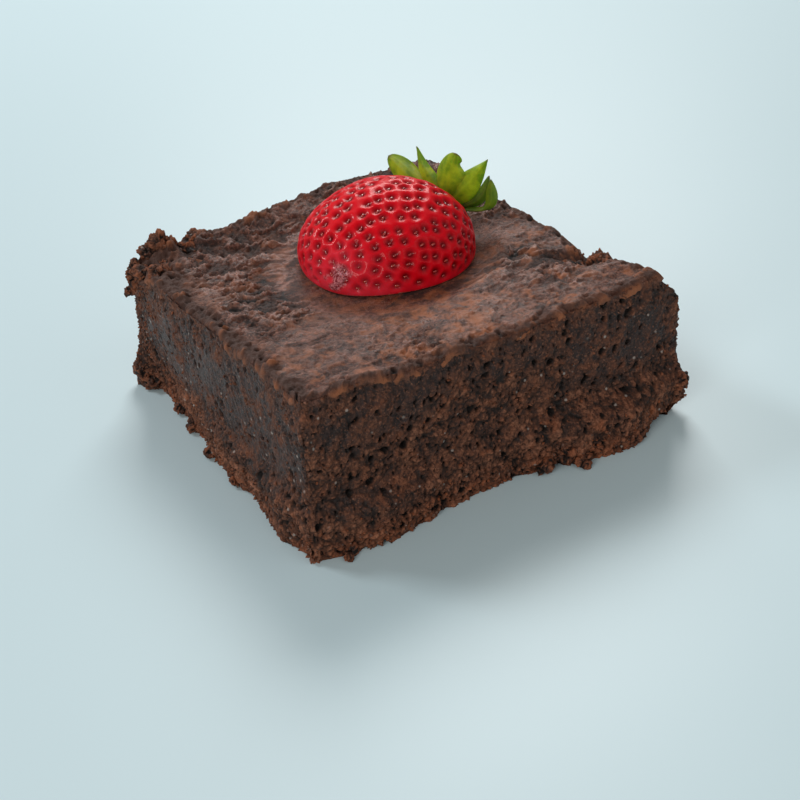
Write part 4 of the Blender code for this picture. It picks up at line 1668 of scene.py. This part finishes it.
@dataclass
class StrawberryHalf:
    """Half a strawberry lying on its cut face: a girth carried along the axis, with seed pits.

    The girth grows from the tip as a power of a circle and falls off at the shoulder as a
    superellipse. Seeds sit on a spiral that turns by the golden angle and gives each the
    same area. The skin is sunk round each seed and stands up in a ridge between them.
    """

    seat: Seat
    gap: float = 0.3
    crown: float = 11.6
    undercut: float = 1.8
    widest: float = 0.60
    tip_power: float = 0.575
    shoulder_power: float = 2.6
    lumpiness: tuple[float, float] = (0.020, 0.014)
    shrink: float = 0.45
    rows: int = 236
    columns: int = 300
    hidden_columns: int = 56
    seed_spacing: float = 2.75
    seed_radii: tuple[float, float, float] = (0.44, 0.28, 0.21)
    seed_grid: tuple[int, int] = (7, 10)
    seeded: tuple[float, float] = (0.004, 0.965)
    lay_seed: int = 3
    shape_seed: int = 5
    stations: int = 1200
    chunk: int = 4096
    nose_height: float = 1.2
    nose_reach: float = 2.9
    pit_depth: float = 0.54
    pit_radius: float = 0.62
    ridge: float = 0.03
    ridge_width: float = 0.55
    swell: tuple[float, float] = (0.10, 0.05)
    seed_rise: float = 0.10
    seed_places: Points = field(init=False)
    seed_ways: Points = field(init=False)
    seed_outward: Points = field(init=False)

    def girth(self, share: Values) -> Values:
        """Radius as a share of the widest, from the tip (0) to the leaves (1)."""
        tip = np.clip(1.0 - ((self.widest - share) / self.widest) ** 2, 0.0, 1.0) ** self.tip_power
        end = np.clip((share - self.widest) / (1.0 - self.widest), 0.0, 1.0)
        shoulder = np.sqrt(np.clip(1.0 - end ** self.shoulder_power, 0.0, 1.0))
        return np.where(share < self.widest, tip, shoulder)

    def smooth(self, share: Values, angle: Values) -> Points:
        """Point of the smooth skin.

        Args:
            share: Place along the axis, 0 at the tip.
            angle: Angle round the axis, 0 on the berry's left, a quarter turn on top.

        Returns:
            Points in millimetres; those under the cut face are brought up to it.
        """
        along, across = self.seat.axes()
        girth = self.girth(share)
        wide = self.seat.width / 2 - self.shrink
        length = self.seat.length - 2.0 * self.shrink
        lumpy = 1.0 + self.lumpiness[0] * np.sin(2.0 * angle + 5.0 * share)
        lumpy = lumpy + self.lumpiness[1] * np.sin(3.0 * angle - 7.0 * share + 1.0)
        side = girth * wide * np.cos(angle) * lumpy
        rise = np.maximum(girth * self.crown * np.sin(angle) * lumpy, -self.undercut)
        centre = np.array([*self.seat.centre, self.seat.height + self.gap + self.undercut])
        place = centre + along * ((share - 0.5) * length)[..., None] + across * side[..., None]
        place[..., 2] += rise
        return place

    def away_from_core(self, vectors: Points, places: Points) -> Points:
        """Vectors turned so that each leads away from a point inside the berry."""
        core = np.array([*self.seat.centre, self.seat.height + 2.0])
        return vectors * np.sign(np.sum(vectors * (places - core), axis=-1, keepdims=True))

    def spiral(self) -> tuple[Values, Values]:
        """Axis shares and angles of the seeds.

        Returns:
            Shares from tip to leaves by equal skin area, and golden-angle turns.
        """
        share = np.linspace(0.0, 1.0, self.stations)
        radius = self.girth(share) * 0.5 * (self.seat.width / 2 + self.crown)
        slant = np.hypot(np.gradient(share) * self.seat.length, np.gradient(radius))
        area = np.concatenate([[0.0], np.cumsum(2.0 * math.pi * radius[1:] * slant[1:])])
        count = int(area[-1] / (self.seed_spacing ** 2 * HEXAGON_SHARE))
        level = (np.arange(count) + 0.5) / count
        turn = np.arange(count) * math.pi * GOLDEN_TURN
        return np.interp(level * area[-1], area, share), turn

    def lay_seeds(self) -> Points:
        """Work out the seeds' places and directions.

        Returns:
            The places of the seeds that show on this half.
        """
        share, turn = self.spiral()
        rng = np.random.default_rng(self.lay_seed)
        turn = turn + rng.normal(scale=0.03, size=len(turn))
        place = self.smooth(share, turn)
        ahead = self.smooth(np.clip(share + 0.01, 0.0, 1.0), turn)
        beside = self.smooth(share, turn + 0.02)
        way = unit(ahead - place)
        out = unit(np.cross(unit(beside - place), way))
        out = self.away_from_core(out, place)
        shown = np.sin(turn) * self.girth(share) * self.crown > -self.undercut + 0.5
        shown &= (share > self.seeded[0]) & (share < self.seeded[1])
        self.seed_places, self.seed_ways, self.seed_outward = place[shown], way[shown], out[shown]
        return place[shown]

    def skin(self) -> Skin:
        """The closed skin with pits and ridges, and its flat cut face.

        Returns:
            The skin and its marks.
        """
        seeds = self.lay_seeds()
        theta = np.linspace(0.0, math.pi, self.rows + 2)[1:-1]
        share = 0.5 * (1.0 - np.cos(theta))
        low = math.asin(self.undercut / self.crown) + 0.06
        upper = np.linspace(-low, math.pi + low, self.columns - self.hidden_columns, endpoint=False)
        lower = np.linspace(math.pi + low, 2.0 * math.pi - low, self.hidden_columns, endpoint=False)
        angle = np.concatenate([upper, lower])
        grid = self.smooth(share[:, None] * np.ones_like(angle), share[:, None] * 0.0 + angle)
        down = np.gradient(grid, axis=0)
        round_it = np.roll(grid, -1, axis=1) - np.roll(grid, 1, axis=1)
        out = unit(np.cross(round_it, down))
        out = self.away_from_core(out, grid)

        places = grid.reshape(-1, 3)
        nearest = np.empty(len(places))
        second = np.empty(len(places))
        for start in range(0, len(places), self.chunk):
            rows = slice(start, start + self.chunk)
            reach = np.sqrt(((places[rows, None, :] - seeds[None]) ** 2).sum(axis=-1))
            two = np.partition(reach, 1, axis=1)
            nearest[rows], second[rows] = two[:, 0], two[:, 1]
        nearest, second = nearest.reshape(grid.shape[:2]), second.reshape(grid.shape[:2])
        bottom = self.seat.height + self.gap
        above = ease(0.05, 1.3, grid[..., 2] - bottom)
        pit = np.exp(-(nearest / self.pit_radius) ** 2 * 0.55) * above
        ridge = np.exp(-((second - nearest) / self.ridge_width) ** 2) * above
        swell = self.swell[0] * soft_noise(grid, 4.5, 501) + self.swell[1] * soft_noise(grid, 1.3, 502)
        rise = self.ridge * ridge - self.pit_depth * pit + swell * above
        points = grid + out * rise[..., None]
        points[..., 2] = np.maximum(points[..., 2], bottom)
        ends = self.smooth(np.array([0.0, 1.0]), np.array([0.0, 0.0]))
        all_points = np.concatenate([points.reshape(-1, 3), ends])
        # Paleness: real pink towards the tip, painted sheen on the left flank and the ridges, and paler low
        # down.
        tip = fade(0.02, 0.20, share[:, None] + 0.03 * soft_noise(grid, 3.0, 511))
        left_sheen = ease(0.55, 1.0, np.cos(angle)[None, :] * np.ones_like(grid[..., 0]))
        low_side = fade(0.5, 3.2, grid[..., 2] - bottom)
        paleness = np.clip(0.55 * tip + 0.25 * left_sheen + 0.25 * low_side + 0.10 * ridge - 0.1, 0.0, 1.0)
        flesh = (points[..., 2] <= bottom + 1e-6).astype(float)
        # The tip spot, speckled in the shader with a dark bruise and painted sheen.
        spot = ends[0] + np.array([0.0, 0.0, self.nose_height])
        away = np.sqrt(((grid - spot) ** 2).sum(axis=-1)) + 1.3 * soft_noise(grid, 1.5, 512)
        nose = fade(0.5 * self.nose_reach, self.nose_reach, away)
        marks = {"pit": with_ends(pit), "paleness": with_ends(paleness, 0.4),
                 "flesh": with_ends(flesh), "nose": with_ends(nose)}
        return Skin(all_points, tube_faces(*grid.shape[:2]), marks).outward()

    def seeds_skin(self) -> Skin:
        """All seeds: teardrops lying in their pits, pointed towards the tip.

        Returns:
            One skin.
        """
        rng = np.random.default_rng(self.shape_seed)
        rows, columns = self.seed_grid
        theta, phi = ball_angles(rows, columns)
        taper = 1.0 - 0.35 * (0.5 - 0.5 * np.cos(theta))
        x = np.cos(theta) * np.ones_like(phi)
        y = np.sin(theta) * np.cos(phi) * taper
        z = np.sin(theta) * np.sin(phi) * taper
        drop = np.concatenate([np.stack([x, y, z], axis=-1).reshape(-1, 3), [[1.0, 0, 0], [-1.0, 0, 0]]])
        count, size = len(self.seed_places), len(drop)
        scale = rng.uniform(0.85, 1.15, size=(count, 1)) * np.array([self.seed_radii])
        sideways = np.cross(self.seed_outward, self.seed_ways)
        local = drop[None] * scale[:, None, :]
        deep = (self.pit_depth - self.seed_rise) * self.seed_outward
        points = (self.seed_places - deep)[:, None, :] - local[..., :1] * self.seed_ways[:, None, :]
        points = points + local[..., 1:2] * sideways[:, None, :]
        points = points + local[..., 2:] * self.seed_outward[:, None, :]
        points[..., 2] = np.maximum(points[..., 2], self.seat.height + self.gap)
        shift = (np.arange(count) * size)[:, None, None]
        faces = [(part[None] + shift).reshape(-1, part.shape[1]) for part in tube_faces(rows, columns)]
        shade = np.repeat(rng.uniform(0.0, 1.0, size=count), size)
        return Skin(points.reshape(-1, 3), faces, {"shade": shade}).outward()

    def build(self, effects: Effects) -> list[bpy.types.Object]:
        """Make the berry and its seeds.

        Args:
            effects: Shared shader groups.

        Returns:
            The two pieces.
        """
        skin = self.skin().build("strawberry_skin", BerryFinish().material(effects))
        seeds = self.seeds_skin().build("strawberry_seeds", SeedFinish().material(effects))
        return [settle(skin, "strawberry_half"),
                settle(seeds, "strawberry_half")]


@dataclass(frozen=True)
class Sepal:
    """One leaf of the green cap.

    Its middle line leaves the disc along heading and turns by bend between the shares
    bend_from and bend_to of its length. The blade starts after the share stem, and its half
    width follows a power of a sine, blunter for a small blunt. Stalk is the least half
    width at its root, and bite the depth of a hollow in its rim at the share bite_at.
    """

    heading: float
    length: float
    width: float
    lean: float
    bend: float = 0.0
    bend_from: float = 0.2
    bend_to: float = 1.0
    widest: float = 0.50
    blunt: float = 0.9
    cup: float = 0.16
    twist: float = 0.0
    bite: float = 0.0
    bite_at: float = 0.7
    age: float = 0.0
    # Painted shade over the whole leaf.
    dusk: float = 0.0
    stem: float = 0.0
    stalk: float = 0.8


@dataclass
class Calyx:
    """The strawberry's green cap: a small domed disc and the leaves round it."""

    seat: Seat
    side_shift: float = -4.6
    height: float = 29.1
    radius: float = 2.3
    stand_off: float = 0.95
    thickness: float = 0.30
    root_at: float = 0.75
    vein_width: float = 0.10
    vein_depth: float = 0.10
    ripple: float = 0.10
    disc_out: float = 0.45
    dome: float = 0.55
    rib: float = 0.06
    ribs: int = 12
    disc_grid: tuple[int, int] = (14, 48)
    rows: int = 44
    columns: int = 16
    sepals: tuple[Sepal, ...] = (
        Sepal(35.0, 12.6, 4.8, 6.0, 8.0, widest=0.60, blunt=0.55, cup=0.14, twist=14.0, age=0.2),
        Sepal(58.0, 10.8, 3.9, 8.0, 24.0, bend_from=0.4, widest=0.32, blunt=1.2, cup=0.20, twist=-12.0),
        Sepal(102.0, 9.7, 5.6, 2.0, 8.0, widest=0.50, blunt=0.55, cup=0.12, bite=0.45, bite_at=0.80,
              age=0.2),
        Sepal(132.0, 12.0, 4.8, 6.0, -6.0, widest=0.34, blunt=1.15, cup=0.14, age=0.1),
        Sepal(166.0, 10.6, 2.4, 14.0, -62.0, bend_from=0.15, bend_to=0.9, widest=0.50, cup=0.35,
              twist=30.0, dusk=0.75, age=0.2),
        Sepal(176.0, 12.6, 2.2, 8.0, -88.0, bend_from=0.34, bend_to=0.80, widest=0.50, cup=0.30,
              twist=25.0, dusk=0.55, stem=0.42, stalk=0.38),
    )

    def axes(self) -> tuple[np.ndarray, np.ndarray, np.ndarray, np.ndarray]:
        """Middle of the disc, and directions out of the berry, to its left and up.

        Returns:
            The four vectors.
        """
        along, across = self.seat.axes()
        flat = np.array([*self.seat.centre, 0.0]) + along * (self.seat.length / 2 + self.stand_off)
        centre = flat + across * self.side_shift + np.array([0.0, 0.0, self.height])
        return centre, along, across, np.array([0.0, 0.0, 1.0])

    def blade(self, sepal: Sepal) -> Skin:
        """One leaf as a bent strip with a thickness.

        Args:
            sepal: Its sizes.

        Returns:
            The closed skin.
        """
        centre, out, left, up = self.axes()
        t = np.linspace(0.0, 1.0, self.rows)
        heading = np.radians(sepal.heading + sepal.bend * ease(sepal.bend_from, sepal.bend_to, t))
        lean = np.radians(sepal.lean) * (1.0 - 0.7 * t)
        spoke = left * np.cos(heading)[:, None] + up * np.sin(heading)[:, None]
        way = spoke * np.cos(lean)[:, None] + out * np.sin(lean)[:, None]
        first = math.radians(sepal.heading)
        start = centre + (left * math.cos(first) + up * math.sin(first)) * (self.radius * self.root_at)
        reach = sepal.length + (1.0 - self.root_at) * self.radius
        line = start + np.cumsum(way, axis=0) * reach / self.rows
        aside = unit(np.cross(out, spoke))
        face = unit(np.cross(way, aside))
        turn = np.radians(sepal.twist) * t
        flank = aside * np.cos(turn)[:, None] + face * np.sin(turn)[:, None]
        face = unit(np.cross(way, flank))
        power = math.log(0.5) / math.log(sepal.widest)
        grown = np.clip((t - sepal.stem) / (1.0 - sepal.stem), 0.0, 1.0)
        swell = np.abs(np.sin(math.pi * grown ** power)) ** sepal.blunt
        root = sepal.stalk * fade(sepal.stem, sepal.stem + 0.4, t)
        half = np.maximum(sepal.width / 2 * swell, root) + 0.06
        q = np.linspace(-1.0, 1.0, self.columns)
        bite = sepal.bite * np.exp(-((t - sepal.bite_at) / 0.08) ** 2)[:, None] * ease(0.0, 1.0, q)[None, :]
        spread = half[:, None] * q[None, :] * (1.0 - bite)
        dish = sepal.cup * sepal.width * (q[None, :] ** 2) * np.sin(math.pi * t)[:, None] ** 0.6
        vein = np.exp(-(q[None, :] / self.vein_width) ** 2)
        vein = vein + 0.5 * np.exp(-((np.abs(q[None, :]) - 0.5) / self.vein_width) ** 2)
        ripple = self.ripple * np.sin(9.0 * t)[:, None] * q[None, :] ** 2
        sheet = line[:, None, :] + flank[:, None, :] * spread[..., None]
        sheet = sheet + face[:, None, :] * (dish - self.vein_depth * vein + ripple)[..., None]
        thick = self.thickness * (1.0 - 0.55 * t)[:, None] * (1.0 - 0.5 * q[None, :] ** 2)
        lift = face[:, None, :] * (0.5 * thick)[..., None]
        loop = np.concatenate([sheet + lift, (sheet - lift)[:, ::-1]], axis=1)
        ends = np.stack([loop[0].mean(axis=0), loop[-1].mean(axis=0)])
        points = np.concatenate([loop.reshape(-1, 3), ends])

        edge = np.abs(q)[None, :] * np.ones_like(t)[:, None]
        old = sepal.age * ease(0.55, 0.95, edge) + 0.8 * ease(0.94, 1.0, t)[:, None] * np.ones_like(edge)
        old = old + sepal.age * bite / max(sepal.bite, 0.05)
        # Painted shade: the leaf's own share, and more near the root.
        shade = sepal.dusk + 0.35 * fade(0.05, 0.35, t)[:, None] * np.ones_like(edge)
        marks = {}
        for name, values, at_ends in (("vein", vein * np.ones_like(edge), 0.0), ("age", old, 0.3),
                                      ("dusk", shade, 0.0)):
            both = np.concatenate([values, values[:, ::-1]], axis=1)
            marks[name] = with_ends(np.clip(both, 0.0, 1.0), at_ends)
        return Skin(points, tube_faces(*loop.shape[:2]), marks).outward()

    def disc(self) -> Skin:
        """The domed disc that the leaves spring from: rings round a middle, ribbed.

        Returns:
            The closed skin.
        """
        centre, out, left, up = self.axes()
        theta, phi = ball_angles(*self.disc_grid)
        radius = self.radius * np.sin(theta) * (1.0 + self.rib * np.cos(self.ribs * phi))
        bulge = self.dome * np.cos(theta) * np.ones_like(phi)
        ring = centre + out * (self.disc_out + bulge)[..., None] + left * (radius * np.cos(phi))[..., None]
        ring = ring + up * (radius * np.sin(phi))[..., None]
        ends = np.stack([centre + out * (self.disc_out + way * self.dome) for way in (1.0, -1.0)])
        points = np.concatenate([ring.reshape(-1, 3), ends])
        # The disc carries painted shade all over.
        values = {"vein": 0.0, "age": 0.1, "dusk": 0.3}
        marks = {name: np.full(len(points), value) for name, value in values.items()}
        return Skin(points, tube_faces(*self.disc_grid), marks).outward()

    def build(self, effects: Effects) -> list[bpy.types.Object]:
        """Make the leaves and the disc.

        Args:
            effects: Shared shader groups.

        Returns:
            The two pieces.
        """
        finish = LeafFinish().material(effects)
        leaves = Skin.joined([self.blade(sepal) for sepal in self.sepals]).build("calyx_leaves", finish)
        disc = self.disc().build("calyx_disc", finish)
        return [settle(piece, "calyx") for piece in (leaves, disc)]


# ---------------------------------------------------------------- stage, light and camera

@dataclass(frozen=True)
class SoftLamp:
    """A square area lamp, aimed at the middle of the object."""

    name: str
    place: tuple[float, float, float]
    size: float
    watts: float
    colour: Colour
    aim: tuple[float, float, float] = (0.0, 0.0, 0.02)

    def build(self) -> bpy.types.Object:
        """Make the lamp and turn it to its aim."""
        data = bpy.data.lights.new(self.name, "AREA")
        data.size = self.size
        data.energy = self.watts
        data.color = self.colour
        lamp = bpy.data.objects.new(self.name, data)
        lamp.location = self.place
        way = Vector(self.aim) - Vector(self.place)
        lamp.rotation_euler = way.to_track_quat("-Z", "Y").to_euler()
        bpy.context.scene.collection.objects.link(lamp)
        return lamp


@dataclass(frozen=True)
class Studio:
    """Pale floor, two windows behind, weak fill from the left and the front, and the camera."""

    floor_size: float = 1.6
    floor_points: int = 24
    floor_gap: float = 0.02
    azimuth: float = math.radians(-30.06)
    elevation: float = math.radians(32.27)
    roll: float = math.radians(-4.42)
    distance: float = 240.1
    aim: tuple[float, float, float] = (0.01, -0.38, -0.84)
    lens: float = 56.7
    sensor: float = 36.0
    clip_start: float = 0.01
    sky: Colour = (1.0, 0.965, 0.94)
    sky_strength: float = 0.245
    lamps: tuple[SoftLamp, ...] = (
        SoftLamp("window", (0.42, 0.62, 0.62), 0.42, 5.1, (1.0, 0.98, 0.96)),
        SoftLamp("left_window", (-0.42, 0.60, 0.60), 0.22, 2.6, (0.97, 0.98, 1.0)),
        SoftLamp("left_fill", (-0.78, -0.45, 0.48), 0.45, 3.3, (1.0, 0.95, 0.91)),
        SoftLamp("front_fill", (0.30, -0.75, 0.70), 0.80, 1.3, (1.0, 0.98, 0.96)),
    )

    def build(self) -> None:
        """Make the floor, the lamps, the sky and the camera."""
        n = self.floor_points
        side = np.linspace(-self.floor_size / 2, self.floor_size / 2, n) / MM
        flat = on_floor(*np.meshgrid(side, side)).reshape(-1, 3) - np.array([0.0, 0.0, self.floor_gap])
        floor = Skin(flat, [grid_faces(n, n)]).build("floor", FloorFinish().material(), free=True)
        for lamp in self.lamps:
            lamp.build()
        world = bpy.data.worlds.new("soft_sky")
        world.use_nodes = True
        sky = world.node_tree.nodes["Background"]
        sky.inputs["Color"].default_value = (*self.sky, 1.0)
        sky.inputs["Strength"].default_value = self.sky_strength
        bpy.context.scene.world = world
        bpy.context.scene.view_settings.view_transform = "Standard"
        self.camera()

    def camera(self) -> None:
        """Stand the camera at its azimuth, elevation and distance, with its roll."""
        a, e, r = self.azimuth, self.elevation, self.roll
        back = Vector((math.sin(a) * math.cos(e), -math.cos(a) * math.cos(e), math.sin(e)))
        level = Vector((math.cos(a), math.sin(a), 0.0))
        upright = back.cross(level)
        right = level * math.cos(r) + upright * math.sin(r)
        up = upright * math.cos(r) - level * math.sin(r)
        data = bpy.data.cameras.new("camera")
        data.lens = self.lens
        data.sensor_width = self.sensor
        data.clip_start = self.clip_start
        camera = bpy.data.objects.new("camera", data)
        turn = Matrix((right, up, back)).transposed().to_4x4()
        place = Vector(self.aim) + Vector(CENTRING) + back * self.distance
        camera.matrix_world = Matrix.Translation(place * MM) @ turn
        bpy.context.scene.collection.objects.link(camera)
        bpy.context.scene.camera = camera


def main() -> None:
    """Build every sub-assembly in order."""
    logging.basicConfig(level=logging.INFO, format="%(name)s: %(message)s")
    effects = Effects.made()
    block = Block()
    sides = CutSides(block)
    sides.build(effects)
    Crust(block).build(effects)
    BrokenLumps().build(effects)
    Grains(sides).build(effects)
    StrawberryHalf(block.seat).build(effects)
    Calyx(block.seat).build(effects)
    Studio().build()


if __name__ == "__main__":
    main()
